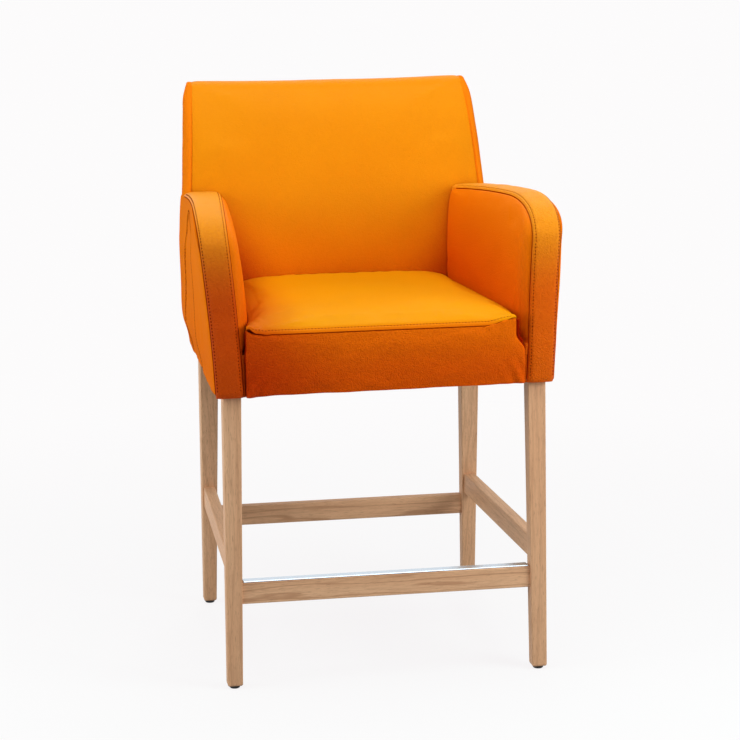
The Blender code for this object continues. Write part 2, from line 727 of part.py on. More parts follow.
def arm_end(offset, meets_at):
    """Rear end of the arm's top line, which falls evenly from its peak, at what it meets there."""
    peak = arm_points(offset)[4]
    level = ARM_SEAM_TOP - ARM_TOP_FALL
    slope = ARM_TOP_FALL / (arm_end_y(level) - peak[0])
    end = Vector((meets_at(level - offset), level - offset))
    for _ in range(MEETING_PASSES):
        end[1] = peak[1] - slope * (end[0] - peak[0])
        end[0] = meets_at(end[1])
    return end


def arm_route(offset, end):
    """The arm's outline from the knee, up the front, round the corner and back along the top."""
    _, knee, bend, _, peak = arm_points(offset)
    path = [knee.lerp(bend, i / ARM_FRONT_STEPS) for i in range(ARM_FRONT_STEPS)]
    path += [arm_corner(offset, i / ARM_CORNER_STEPS) for i in range(ARM_CORNER_STEPS)]
    path += [peak.lerp(end, i / ARM_TOP_STEPS) for i in range(ARM_TOP_STEPS + 1)]
    return path


def outwards(path, i):
    """Outward direction of the arm's outline at one of its points."""
    along = path[min(i + 1, len(path) - 1)] - path[max(i - 1, 0)]
    return Vector((-along[1], along[0])).normalized()


def band_crown(share):
    return math.sqrt(1 - abs(2 * share - 1) ** PILLOW_POWER_SHARE)


def arm_band(name, side):
    """The leather band over the front and the top of the arm, from the bottom edge to the back."""
    path = [arm_points(0)[0]] + arm_route(0, arm_end(0, arm_end_y))
    rings = []
    for i, (y, z) in enumerate(path):
        normal = Vector((-1, 0)) if i < 2 else outwards(path, i)
        inner, outer = inner_seam_x(y, z), outer_seam_x(y, z)
        ring = []
        for share in BAND_STOPS_SHARE:
            rise = normal * (ARM_BAND_THICKNESS - ARM_BAND_LIP) * band_crown(share)
            ring.append(Vector((lerp(inner, outer, share), y + rise[0], z + rise[1])))
        for x in (outer, inner):
            ring.append(Vector((x, y - normal[0] * ARM_BAND_LIP, z - normal[1] * ARM_BAND_LIP)))
        rings.append(ring)
    rings[-1] = [Vector((x, arm_end_y(z), z)) for x, _, z in rings[-1]]
    smooth(loft(name, mirrored(rings, side), LEATHER))


def arm_frame_rings(growth, reach):
    """The sawn and glued arm frame: up from the front leg, round the corner and back to the post."""
    offset = ARM_BAND_LIP + GAP
    path = arm_route(offset, arm_end(offset, rear_leg_face))
    path[0] = Vector((path[0][0], RAIL_TOP + GAP))
    path.insert(1, arm_points(offset)[1])
    rings = []
    for i, (y, z) in enumerate(path):
        normal = Vector((-1, 0)) if i < 2 else outwards(path, i)
        ring = []
        for depth in (-growth, ARM_FRAME_DEPTH + growth):
            point = (y - normal[0] * depth, z - normal[1] * depth)
            inner, outer = arm_frame_faces(*point)
            faces = (inner - growth, outer + growth)
            ring += [Vector((x, *point)) for x in (reversed(faces) if ring else faces)]
        rings.append(ring)
    rings[-1] = [Vector((x, rear_leg_face(z) + reach, z)) for x, _, z in rings[-1]]
    return rings


def front_edge(v, bottom, offset):
    """Front edge of a side pad, from its bottom to the middle of the rounded corner."""
    foot, knee, bend, _, _ = arm_points(offset)
    if v >= ARM_FRONT_STRAIGHT_SHARE:
        return arm_corner(offset, (v - ARM_FRONT_STRAIGHT_SHARE) / (1 - ARM_FRONT_STRAIGHT_SHARE) / 2)
    z = lerp(bottom, bend[1], v / ARM_FRONT_STRAIGHT_SHARE)
    lean = max((z - knee[1]) / (bend[1] - knee[1]), 0)
    return Vector((lerp(foot[0], bend[0], lean), z))


def top_edge(u, offset, end):
    """Top edge of a side pad, from the middle of the rounded corner to the rear."""
    peak = arm_points(offset)[4]
    if u < ARM_TOP_CORNER_SHARE:
        return arm_corner(offset, (1 + u / ARM_TOP_CORNER_SHARE) / 2)
    return peak.lerp(end, (u - ARM_TOP_CORNER_SHARE) / (1 - ARM_TOP_CORNER_SHARE))


def side_pad_place(bottom, rear_y_at):
    """Where a side pad lies in the arm's outline, over the unit square."""
    offset = ARM_BAND_LIP + SOFT_GAP
    end = arm_end(offset, rear_y_at)

    def bottom_edge(u):
        return Vector((lerp(arm_points(offset)[0][0], rear_y_at(bottom), u), bottom))

    def rear_edge(v):
        z = lerp(bottom, end[1], v)
        return Vector((rear_y_at(z), z))
    return coons(bottom_edge, lambda u: top_edge(u, offset, end),
                 lambda v: front_edge(v, bottom, offset), rear_edge)


def seat_half(y):
    """Half width of the seat cushion, which tapers between the arms."""
    run = arm_end_y(SEAT_SEAM_HEIGHT) - SEAT_FRONT_Y
    clear = lerp(SEAT_CLEAR_FRONT, SEAT_CLEAR_REAR, (y - SEAT_FRONT_Y) / run)
    return inner_seam_x(y, SEAT_SEAM_HEIGHT) - clear


def rolled(distance, radius):
    """Height share of a padded edge that rounds over within a radius."""
    rest = 1 - min(max(distance / radius, 0), 1)
    return math.sqrt(1 - rest * rest)


def arm_inner_pad(name, side):
    """The padded inner side of the arm. It swells behind the front seam and tucks in below the seat."""
    place = side_pad_place(PAD_BOTTOM, arm_end_y)
    length, height = arm_end_y(PAD_BOTTOM) - ARM_SEAM_Y, ARM_SEAM_TOP - PAD_BOTTOM

    def face(u, v):
        y, z = place(u, v)
        before_back = lerp(ARM_INNER_REAR_SHARE, 1, rolled((1 - u) * length, ARM_INNER_REAR_ROLL))
        tuck = rolled(z - SEAT_SEAM_HEIGHT + ARM_INNER_TUCK_DROP, ARM_INNER_TUCK_ROLL)
        swell = rolled(u * length, ARM_INNER_FRONT_ROLL) * before_back
        swell *= rolled((1 - v) * height, ARM_INNER_TOP_ROLL) * lerp(ARM_INNER_TUCK_SHARE, 1, tuck)
        x = max(inner_seam_x(y, z) - ARM_INNER_CROWN * swell, seat_half(y) + SOFT_GAP)
        return Vector((side * x, y, z))

    def back(u, v):
        y, z = place(u, v)
        return Vector((side * (arm_frame_faces(y, z)[0] - GAP), y, z))
    padded_panel(name, stops(ARM_PAD_COLUMNS), stops(ARM_PAD_ROWS), face, back, LEATHER)


def hem_inner_x():
    return inner_seam_x(ARM_SEAM_Y, SEAT_UNDERSIDE) - ARM_HEM_WIDTH


def arm_hem(name, side):
    """The lower end of the inner cover, between the band and the apron, down to the bottom edge."""
    inner = hem_inner_x()
    rear = front_rail_face(0) - GAP
    rings = []
    for z in (SEAT_UNDERSIDE, lerp(SEAT_UNDERSIDE, PAD_BOTTOM, 1 / 2), PAD_BOTTOM - GAP):
        outer = inner_seam_x(ARM_SEAM_Y, z) - GAP
        rings.append([Vector((outer, ARM_SEAM_Y, z)), Vector((inner + ARM_HEM_ROUND, ARM_SEAM_Y, z)),
                      Vector((inner, ARM_SEAM_Y + ARM_HEM_ROUND, z)), Vector((inner, rear, z)),
                      Vector((outer, rear, z))])
    smooth(loft(name, mirrored(rings, side), LEATHER))


def rear_skin_y(z):
    """Where the outside back lies against the rear legs and their posts."""
    return LEG_REAR_Y + post_lean(z) + GAP


def side_pad_end_y(z):
    return rear_skin_y(z) - SOFT_GAP


def bend_stops(rows, top):
    """Rows of a panel that starts at the bottom edge, with one row where the rear legs bend."""
    return stops(rows, (RAIL_TOP - SEAT_UNDERSIDE) / (top - SEAT_UNDERSIDE))


def arm_outer_pad(name, side):
    """The padded outer side of the tub, from the front of the arm to the rear corner."""
    place = side_pad_place(SEAT_UNDERSIDE, side_pad_end_y)

    def face(u, v):
        y, z = place(u, v)
        return Vector((side * (outer_seam_x(y, z) + ARM_OUTER_CROWN * pillow(u, v)), y, z))

    def back(u, v):
        y, z = place(u, v)
        return Vector((side * (outer_seam_x(y, z) - ARM_PAD_EDGE), y, z))
    rows = bend_stops(ARM_PAD_ROWS, arm_end(ARM_BAND_LIP + SOFT_GAP, side_pad_end_y)[1])
    padded_panel(name, stops(ARM_PAD_COLUMNS), rows, face, back, LEATHER)


# Back upholstery


ARM_JOIN = max(arm_end(ARM_BAND_LIP + SOFT_GAP, meets)[1] for meets in (arm_end_y, side_pad_end_y))


def corner_inset(z, top, radius):
    """How far a side draws in where it rounds into the top."""
    into = min(max(z - (top - radius), 0), radius)
    return radius - math.sqrt(radius * radius - into * into)


def back_half(z):
    """Half width of the back cushion: inside the tub's sides, and tapering above the arms."""
    if z <= ARM_JOIN:
        return outer_seam_x(rear_leg_face(z), z) - ARM_PAD_EDGE - SOFT_GAP
    join = outer_seam_x(rear_leg_face(ARM_JOIN), ARM_JOIN) - ARM_PAD_EDGE - SOFT_GAP
    return lerp(join, BACK_TOP_HALF, (z - ARM_JOIN) / (BACK_PAD_TOP - ARM_JOIN))


def back_pad():
    """The front of the back: raked, crowned and rolled back at the top."""
    def spot(u, v):
        z = lerp(PAD_BOTTOM, BACK_PAD_TOP, v)
        half = back_half(z) - corner_inset(z, BACK_PAD_TOP, BACK_CORNER_RADIUS)
        return lerp(-half, half, u), z

    def face(u, v):
        x, z = spot(u, v)
        return Vector((x, back_face_y(z) - BACK_PAD_CROWN * pillow(u, v), z))

    def back(u, v):
        x, z = spot(u, v)
        return Vector((x, rear_leg_face(z) - GAP, z))
    return padded_panel("back_pad", stops(BACK_PAD_COLUMNS), stops(BACK_PAD_ROWS), face, back, LEATHER)


def boxing_route():
    """Outline of the back in front view, from the right arm up, across the top and down."""
    radius = BACK_CORNER_RADIUS
    low, high = ARM_JOIN + SOFT_GAP, BACK_PAD_TOP - radius
    side = [(back_half(z), z) for z in (lerp(low, high, i / BACK_SIDE_STEPS) for i in range(BACK_SIDE_STEPS))]
    turns = [math.pi / 2 * i / BACK_CORNER_STEPS for i in range(BACK_CORNER_STEPS + 1)]
    centre = back_half(high) - radius
    side += [(centre + radius * math.cos(a), high + radius * math.sin(a)) for a in turns]
    across = [(lerp(centre, -centre, i / BACK_TOP_STEPS), BACK_PAD_TOP) for i in range(1, BACK_TOP_STEPS)]
    return side + across + [(-x, z) for x, z in reversed(side)]


def back_boxing():
    """The leather boxing over both sides and the top of the back."""
    path = [Vector(p) for p in boxing_route()]
    rings = []
    for i, (x, z) in enumerate(path):
        along = path[min(i + 1, len(path) - 1)] - path[max(i - 1, 0)]
        normal = Vector((1, 0)) if i == 0 else Vector((along[1], -along[0])).normalized()
        if i == len(path) - 1:
            normal = Vector((-1, 0))
        ring = []
        for share in BAND_STOPS_SHARE:
            rise = SOFT_GAP + lerp(BACK_BOXING_LIP, BACK_BOXING, band_crown(share))
            px, pz = x + normal[0] * rise, z + normal[1] * rise
            ring.append(Vector((px, lerp(back_face_y(z), rear_skin_y(z) - SOFT_GAP, share), pz)))
        for share in (1, 0):
            px, pz = x + normal[0] * SOFT_GAP, z + normal[1] * SOFT_GAP
            ring.append(Vector((px, lerp(back_face_y(z), rear_skin_y(z) - SOFT_GAP, share), pz)))
        rings.append(ring)
    smooth(loft("back_boxing", rings, LEATHER))


def rear_half(z):
    """Half width of the outside back: over the side pads, then over the boxing."""
    if z <= ARM_JOIN:
        return outer_seam_x(rear_skin_y(z), z)
    join = outer_seam_x(rear_skin_y(ARM_JOIN), ARM_JOIN)
    return lerp(join, BACK_TOP_HALF + BACK_BOXING_LIP, (z - ARM_JOIN) / (BACK_PAD_TOP - ARM_JOIN))


def outside_back():
    """The outside back, from the bottom edge to the top, over the rear legs and rails."""
    top = BACK_PAD_TOP + BACK_BOXING_LIP

    def spot(u, v):
        z = lerp(SEAT_UNDERSIDE, top, v)
        half = rear_half(z) - corner_inset(z, top, BACK_CORNER_RADIUS)
        return lerp(-half, half, u), z

    def face(u, v):
        x, z = spot(u, v)
        return Vector((x, rear_skin_y(z) + REAR_PAD_THICKNESS + REAR_PAD_CROWN * pillow(u, v), z))

    def back(u, v):
        x, z = spot(u, v)
        return Vector((x, rear_skin_y(z), z))
    rows = bend_stops(REAR_PAD_ROWS, top)
    padded_panel("outside_back", stops(REAR_PAD_COLUMNS), rows, face, back, LEATHER)


def back_strap(name, x):
    """An elastic strap from the low back rail to the top one, stapled to their front faces."""
    heights = [BACK_LOW_RAIL, BACK_LOW_RAIL + BACK_RAIL_HEIGHT, BACK_TOP_RAIL, BACK_TOP_RAIL + BACK_RAIL_HEIGHT]
    rings = []
    for z in heights:
        rear = back_rail_face(z) - GAP
        front = rear - BACK_STRAP_THICKNESS + GAP
        half = BACK_STRAP_WIDTH / 2
        rings.append([Vector((x - half, front, z)), Vector((x + half, front, z)),
                      Vector((x + half, rear, z)), Vector((x - half, rear, z))])
    loft(name, rings, WEBBING)


# Seat


def apron():
    """The padded front panel of the seat, from its top seam down over the front rail."""
    back_y = front_rail_face(0) - GAP

    def spot(u, v):
        z = lerp(SEAT_UNDERSIDE, SEAT_SEAM_HEIGHT - SOFT_GAP, v)
        rise = z - SEAT_UNDERSIDE - APRON_WIDE_RISE
        narrow = min(max(rise / (APRON_NARROW_RISE - APRON_WIDE_RISE), 0), 1)
        half = lerp(hem_inner_x() - ARM_HEM_GAP, seat_half(SEAT_FRONT_Y), narrow)
        return lerp(-half, half, u), z

    def face(u, v):
        x, z = spot(u, v)
        return Vector((x, SEAT_FRONT_Y - APRON_CROWN * pillow(u, v), z))

    def back(u, v):
        x, z = spot(u, v)
        return Vector((x, back_y, z))
    padded_panel("seat_apron", stops(APRON_COLUMNS), stops(APRON_ROWS), face, back, LEATHER)


def seat_cushion():
    """The crowned seat cushion, set into the top of the apron and tapering between the arms."""
    def spot(u, v, draw, z):
        y = lerp(SEAT_FRONT_Y, arm_end_y(z), v)
        half = seat_half(y) - draw
        return lerp(-half, half, u), y

    def top(u, v):
        height = crown_height(u, v)
        x, y = spot(u, v, 0, height)
        return Vector((x, y, height))

    def crown_height(u, v):
        run = (arm_end_y(SEAT_SEAM_HEIGHT) - SEAT_FRONT_Y) * v / SEAT_CROWN_RUN
        front = math.sqrt(1 - (1 - min(run, 1)) ** 3)
        across = lerp(SEAT_EDGE_SHARE, 1, band_crown(u))
        return SEAT_SEAM_HEIGHT + SEAT_RISE * front * across * lerp(1, SEAT_REAR_SHARE, v)

    def bottom(u, v):
        x, y = spot(u, v, SEAT_SIDE_DRAW, PAD_BOTTOM)
        return Vector((x, y, PAD_BOTTOM))
    cushion = padded_panel("seat_cushion", stops(SEAT_COLUMNS), stops(SEAT_ROWS), top, bottom, LEATHER)
    low, high = PAD_BOTTOM - OVERRUN, SEAT_SEAM_HEIGHT
    near, far = SEAT_FRONT_Y - OVERRUN, front_rail_face(0) - GAP + SOFT_GAP
    half = seat_half(SEAT_FRONT_Y) + OVERRUN
    rings = [[Vector((x, y, z)) for x, y in ((-half, near), (half, near), (half, far), (-half, far))]
             for z in (low, high)]
    cut(cushion, cutter("apron_seat", rings))


# Assembly of the inner pieces and the upholstery

for side, side_name in ((-1, "left"), (1, "right")):
    for row in ("front", "rear"):
        corner_block("_".join(("corner_block", row, side_name)), side, row)
    loft("arm_frame_" + side_name, mirrored(arm_frame_rings(0, -GAP), side), INNER_WOOD)
    arm_band("arm_band_" + side_name, side)
    arm_inner_pad("arm_inner_pad_" + side_name, side)
    arm_hem("arm_hem_" + side_name, side)
    arm_outer_pad("arm_outer_pad_" + side_name, side)
seat_board()
dust_cover()
for i in range(BACK_STRAP_COUNT):
    spacing = (REAR_LEG_SPREAD - 2 * REAR_LEG_TOP) / (BACK_STRAP_COUNT + 1)
    back_strap("back_strap_" + str(i + 1), spacing * (i + 1 - (BACK_STRAP_COUNT + 1) / 2))
BACK = back_pad()
for side, side_name in ((-1, "left"), (1, "right")):
    cut(BACK, cutter("arm_slot_" + side_name, mirrored(arm_frame_rings(SOFT_GAP, OVERRUN), side)))
back_boxing()
outside_back()
apron()
seat_cushion()


def centre_on_floor():
    """Puts the origin under the middle of the stool's depth."""
    depths = [vert.co.y for piece in PARTS.objects if piece.type == "MESH" for vert in piece.data.vertices]
    ROOT.location.y = -(min(depths) + max(depths)) / 2


centre_on_floor()
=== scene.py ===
"""Counter stool with arms: leather upholstery, stained wooden legs, steel foot strip, white studio."""

import math

import bmesh
import bpy
import numpy as np
from mathutils import Matrix, Vector, noise


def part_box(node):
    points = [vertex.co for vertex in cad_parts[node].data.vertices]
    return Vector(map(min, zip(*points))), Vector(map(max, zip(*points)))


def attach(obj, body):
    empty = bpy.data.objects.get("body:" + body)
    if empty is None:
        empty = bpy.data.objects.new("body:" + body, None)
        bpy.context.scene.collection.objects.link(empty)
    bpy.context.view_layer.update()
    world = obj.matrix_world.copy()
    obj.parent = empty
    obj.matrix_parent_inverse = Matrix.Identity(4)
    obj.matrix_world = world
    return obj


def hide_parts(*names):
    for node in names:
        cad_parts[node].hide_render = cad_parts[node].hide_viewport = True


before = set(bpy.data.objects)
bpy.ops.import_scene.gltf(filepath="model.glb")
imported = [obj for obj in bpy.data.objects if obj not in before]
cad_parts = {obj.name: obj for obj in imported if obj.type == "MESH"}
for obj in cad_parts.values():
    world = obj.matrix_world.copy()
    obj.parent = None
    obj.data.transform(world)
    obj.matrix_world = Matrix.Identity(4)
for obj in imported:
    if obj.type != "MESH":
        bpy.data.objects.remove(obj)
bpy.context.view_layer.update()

# Frame, as the solids have it
GAP = 0.0003
UNDERSIDE = 0.535
LEG_PITCH = 0.539
LEG_TOP = 0.0324
LEG_FRONT_Y = -LEG_PITCH / 2
LEG_REAR_Y = LEG_PITCH / 2
RAIL_SETBACK = 0.002
RAIL_TOP = 0.585
POST_RAKE = 0.272
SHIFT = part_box("front_leg_right")[0][1] - LEG_FRONT_Y

# Arms, as the solids have them
PAD_BOTTOM = 0.5976
EDGE_FRONT = 0.2995
EDGE_REAR = 0.2895
BAND_WIDTH = 0.048
BAND_RISE = 0.008
BAND_LIP = 0.0045
PAD_EDGE = 0.0112
FLARE_FRONT = 0.0255
FLARE_REAR = 0.007
FLARE_EVEN = 0.6
BELLY = 0.009
TAPER_IN = 0.048
ARM_SEAM_Y = LEG_FRONT_Y - GAP - BAND_LIP
ARM_SEAM_TOP = 0.848
ARM_LEAN = 0.022
ARM_FALL = 0.024
ARM_FALL_POWER = 1.5
CORNER_RISE = 0.07
CORNER_RUN = 0.145
CORNER_HANDLE = 0.62
CORNER_LEAN = 0.2
CORNER_DROP = 0.022

# Seat and back, as the solids have them
SEAT_SEAM = 0.64
APRON_THICKNESS = 0.0165
SEAT_FRONT_Y = LEG_FRONT_Y + RAIL_SETBACK - GAP - APRON_THICKNESS
SEAT_CLEARANCES = (0.0203, 0.0095)
FACE_INSET = 0.0665
FACE_RISE = 0.01
BACK_RAKE = 0.306
BACK_ROLL = 0.03
ROLL_HEIGHT = 0.136
ROLL_POWER = 2.4
BACK_PAD_TOP = 1.0243
BACK_PAD_CROWN = 0.006
BACK_TOP_HALF = 0.2712
SIDE_INSET = 0.034

# Crowns, seams and stitches
INNER_CROWN = 0.0175
EDGE_CROWN = 0.0035
OUTER_CROWN = 0.0092
SIDE_SWELL = 0.0138
SEAM_GAP = 0.0006
PANEL_GAP = 0.0005
STITCH_PITCH = 0.0058
INNER_STITCH = 0.005
OUTER_STITCH = 0.0028
SEAM_STEP = 0.0016


# Materials


def assign(thing, **values):
    for key, value in values.items():
        setattr(thing, key, value)


def feed(tree, node, inputs):
    """Sets each named input of a node to a plain value, or links another node's output to it."""
    for key, value in inputs.items():
        if isinstance(value, (int, float, tuple, list)):
            node.inputs[key].default_value = value
        else:
            tree.links.new(value, node.inputs[key])


def add(tree, kind, inputs, **settings):
    node = tree.nodes.new("ShaderNode" + kind)
    assign(node, **settings)
    feed(tree, node, inputs)
    return node


def nodes_of(name):
    """A new material with its node tree, its shader and the object's own coordinates."""
    made = bpy.data.materials.new(name)
    made.use_nodes = True
    tree = made.node_tree
    return made, tree, tree.nodes["Principled BSDF"], add(tree, "TexCoord", {}).outputs["Object"]


def ramp(tree, source, stops):
    node = add(tree, "ValToRGB", {"Fac": source})
    while len(node.color_ramp.elements) < len(stops):
        node.color_ramp.elements.new(0.5)
    for element, (place, value) in zip(node.color_ramp.elements, stops):
        element.position = place
        element.color = (value, value, value, 1)
    return node.outputs["Color"]


def noise_node(tree, vector, scale, detail=3.0, rough=0.5):
    inputs = {"Vector": vector, "Scale": scale, "Detail": detail, "Roughness": rough}
    return add(tree, "TexNoise", inputs).outputs["Fac"]


def math_node(tree, operation, a, b):
    return add(tree, "Math", {0: a, 1: b}, operation=operation).outputs[0]


MIX_A, MIX_B, MIX_RESULT = 6, 7, 2


def mix_colour(tree, fac, a, b, blend="MIX"):
    inputs = {"Factor": fac, MIX_A: a, MIX_B: b}
    return add(tree, "Mix", inputs, data_type="RGBA", blend_type=blend).outputs[MIX_RESULT]


def smooth_range(tree, value, low, high, at_low=0.0, at_high=1.0):
    """Turns a value smoothly from one number at low to another at high."""
    inputs = {"Value": value, "From Min": low, "From Max": high, "To Min": at_low, "To Max": at_high}
    return add(tree, "MapRange", inputs, interpolation_type="SMOOTHSTEP").outputs["Result"]


def stretched(tree, coords, scale, shift=(0.0, 0.0)):
    """Coordinates drawn out along the grain."""
    inputs = {"Scale": scale, "Location": (*shift, 0.0), "Vector": coords}
    return add(tree, "Mapping", inputs).outputs["Vector"]


def finish_shader(tree, shader, base, height, strength, distance, **settings):
    """Links the colour and the relief, and sets what is the same all over."""
    bump = add(tree, "Bump", {"Strength": strength, "Distance": distance, "Height": height})
    feed(tree, shader, {key.replace("_", " "): value for key, value in settings.items()})
    feed(tree, shader, {"Base Color": base, "Normal": bump.outputs["Normal"]})


PEBBLE_SCALE, MOTTLE_SCALE, CLOUD_SCALE = 430.0, 230.0, 8.0
DEEP_DYE = (0.86, 0.66, 0.6, 1)
CORNER_PAINTED_SHADE = (0.5, 0.15, 0.4, 1)
LEFT_PAINTED_SHADE = (0.72, 0.36, 0.6, 1)
LEATHER_TINT = (1.0, 0.5, 0.1, 1)
CORNER_REACH = 0.11
SHADE_FROM = -0.25


def leather(name, low, high, shaded_below, lit_above, grain, gloss, rough=0.48, corner=0.0, shade=None):
    """Pebbled leather whose colour runs from a deep tone low down to a light one higher up, which is painted
    shade low down and painted light higher up.

    corner paints shade where other surfaces are near. shade paints shade towards its left edge: it holds how
    much it darkens there, where along x that ends, and whether it fades out with height as well.
    """
    made, tree, shader, coords = nodes_of(name)
    split = add(tree, "SeparateXYZ", {0: coords})
    painted_light_rise = smooth_range(tree, split.outputs["Z"], shaded_below, lit_above)
    inputs = {"Vector": coords, "Scale": PEBBLE_SCALE, "Detail": 3.0, "Roughness": 0.5, "Smoothness": 0.3,
              "Randomness": 0.9}
    cells = add(tree, "TexVoronoi", inputs, feature="SMOOTH_F1").outputs["Distance"]
    clouds = noise_node(tree, coords, CLOUD_SCALE, 4.0)
    mottle = noise_node(tree, coords, MOTTLE_SCALE, 4.0, 0.6)
    # Painted light and shade: the colour is lighter higher up, where the top lamp falls, and deeper low
    # down.
    base = mix_colour(tree, painted_light_rise, low + (1,), high + (1,))
    for source, stops in ((clouds, [(0.32, 0.16), (0.68, 0.0)]), (cells, [(0.25, 0.0), (0.8, 0.42 * grain)]),
                          (mottle, [(0.36, 0.75 * grain), (0.56, 0.0)])):
        base = mix_colour(tree, ramp(tree, source, stops), base, DEEP_DYE, "MULTIPLY")
    # Painted shade: ambient occlusion darkens the colour where other surfaces are near.
    if corner:
        nearby = add(tree, "AmbientOcclusion", {"Distance": CORNER_REACH}, samples=6)
        share = ramp(tree, nearby.outputs["AO"], [(0.38, corner), (0.74, 0.0)])
        base = mix_colour(tree, share, base, CORNER_PAINTED_SHADE, "MULTIPLY")
    # Painted shade: the colour darkens towards the left edge, as if the light came from the right.
    if shade:
        amount, ends_at, fades_upwards = shade
        share = smooth_range(tree, split.outputs["X"], SHADE_FROM, ends_at, amount, 0.0)
        if fades_upwards:
            share = math_node(tree, "MULTIPLY", share, math_node(tree, "SUBTRACT", 1.0, painted_light_rise))
        base = mix_colour(tree, share, base, LEFT_PAINTED_SHADE, "MULTIPLY")
    height = math_node(tree, "SUBTRACT", mottle, cells)
    finish_shader(tree, shader, base, height, 0.55 + 0.45 * grain, 0.0006 + 0.0012 * grain,
                  Roughness=rough, Specular_IOR_Level=gloss, Specular_Tint=LEATHER_TINT)
    return made


GRAIN_STRETCH = 0.06
WOOD_TONES = ((0.72, 0.408, 0.218, 1), (0.81, 0.5, 0.285, 1))
CONTOUR_TONE = (0.5, 0.255, 0.13, 1)
STREAK_TONE = (0.5, 0.265, 0.14, 1)
PORE_TONE = (0.33, 0.16, 0.085, 1)


def wood(name, axis, shift=(0.0, 0.0), figure=0.35):
    """Stained timber with its grain along one axis: faint streaks, short pores and contour lines."""
    made, tree, shader, coords = nodes_of(name)
    vector = stretched(tree, coords, [GRAIN_STRETCH if i == axis else 1.0 for i in range(3)], shift)
    warp = noise_node(tree, vector, 24.0)
    inputs = {"Scale": 30.0, "Distortion": 9.0, "Detail": 3.0, "Detail Scale": 1.8, "Vector": vector}
    rings = add(tree, "TexWave", inputs, wave_type="RINGS", rings_direction="XYZ"[axis])
    streaks = noise_node(tree, vector, 300.0, 4.0, 0.6)
    pores = noise_node(tree, vector, 1000.0, 2.0, 0.55)
    pits = ramp(tree, pores, [(0.33, 0.5), (0.41, 0.0)])
    base = mix_colour(tree, ramp(tree, warp, [(0.35, 0.0), (0.68, 1.0)]), *WOOD_TONES)
    contour = ramp(tree, rings.outputs["Fac"], [(0.0, figure), (0.22, 0.0)])
    base = mix_colour(tree, contour, base, CONTOUR_TONE)
    base = mix_colour(tree, ramp(tree, streaks, [(0.36, 0.34), (0.56, 0.0)]), base, STREAK_TONE)
    base = mix_colour(tree, pits, base, PORE_TONE)
    finish_shader(tree, shader, base, math_node(tree, "SUBTRACT", streaks, pits), 0.3, 0.0003,
                  Roughness=0.55, Specular_IOR_Level=0.3)
    return made


def plain(name, colour, rough, scale=300.0, contrast=0.25, gloss=0.3):
    """A quiet material: one colour with a fine mottle and relief."""
    made, tree, shader, coords = nodes_of(name)
    speckle = noise_node(tree, coords, scale)
    dark = tuple(c * (1 - contrast) for c in colour) + (1,)
    base = mix_colour(tree, speckle, dark, colour + (1,))
    finish_shader(tree, shader, base, speckle, 0.3, 0.0003, Roughness=rough, Specular_IOR_Level=gloss)
    return made


def brushed():
    """Polished strip with fine lines along its length."""
    made, tree, shader, coords = nodes_of("polished_strip")
    lines = noise_node(tree, stretched(tree, coords, (0.02, 1.0, 1.0)), 1800.0, 2.0)
    base = mix_colour(tree, lines, (0.58, 0.7, 0.8, 1), (0.74, 0.84, 0.93, 1))
    finish_shader(tree, shader, base, lines, 0.12, 0.0002, Metallic=1.0, Roughness=0.24)
    return made


# One leather in six copies whose tones are partly painted light and shade: the front-facing band and apron
# are deeper and redder than the seat and back, and the band's light tone holds a painted highlight.
HIDES = {
    "seat": leather("seat_leather", (0.74, 0.165, 0.001), (0.79, 0.315, 0.001), 0.6405, 0.654, 0.12, 0.08,
                    corner=0.45, shade=(1.0, -0.12, False)),
    "back": leather("back_leather", (0.86, 0.225, 0.001), (0.79, 0.27, 0.003), 0.66, 0.82, 0.15, 0.14,
                    corner=0.95, shade=(0.9, -0.12, True)),
    "inner": leather("arm_inner_leather", (0.8, 0.132, 0.001), (0.84, 0.2, 0.001), 0.66, 0.83, 0.2, 0.14),
    "outer": leather("arm_outer_leather", (0.88, 0.195, 0.003), (0.91, 0.235, 0.005), 0.55, 0.8, 0.3, 0.02,
                     rough=0.7),
    "band": leather("arm_band_leather", (0.75, 0.128, 0.002), (0.9, 0.36, 0.012), 0.68, 0.86, 0.6, 0.24,
                    shade=(0.68, 0.0, True)),
    "apron": leather("apron_leather", (0.78, 0.11, 0.001), (0.88, 0.18, 0.001), 0.555, 0.652, 0.65, 0.12,
                     shade=(0.9, -0.04, False)),
}
# Painted shadow: the dark colour of the tubes laid along the seams and in the gaps.
PAINTED_SEAM_SHADOW = plain("seam_shadow", (0.3, 0.011, 0.0005), 0.9, scale=900.0, gloss=0.0)
# Painted shade: the near-black colour of the needle holes.
STITCH_HOLE_SHADE = plain("stitch_hole", (0.17, 0.005, 0.0004), 0.9, scale=2500.0, gloss=0.0)
THREAD = plain("seam_thread", (0.66, 0.1, 0.002), 0.8, scale=2500.0, gloss=0.0)
FINISHES = (
    (("side_stretcher",), wood("oak_fore_and_aft", 1, (0.1, 0.4))),
    (("stretcher",), wood("oak_across", 0, (0.3, 0.1), 0.75)),
    (("leg",), wood("oak_upright", 2)),
    (("glide",), plain("glide_plastic", (0.012, 0.012, 0.012), 0.4)),
    (("foot_plate",), brushed()),
    (("dust_cover",), plain("dust_cover_fabric", (0.02, 0.02, 0.022), 0.95, scale=1400.0, contrast=0.6)),
    (("strap",), plain("elastic_webbing", (0.1, 0.09, 0.08), 0.85, scale=900.0, contrast=0.5)),
    (("board",), plain("plywood", (0.6, 0.43, 0.26), 0.7, scale=60.0)),
    (("rail", "block", "arm_frame"), plain("planed_beech", (0.55, 0.37, 0.21), 0.7, scale=90.0)),
)
for name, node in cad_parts.items():
    finish = next((made for parts, made in FINISHES if any(part in name for part in parts)), None)
    for slot in node.material_slots if finish else ():
        slot.material = finish


# Shape of the tub


def lerp(a, b, t):
    return a + (b - a) * t


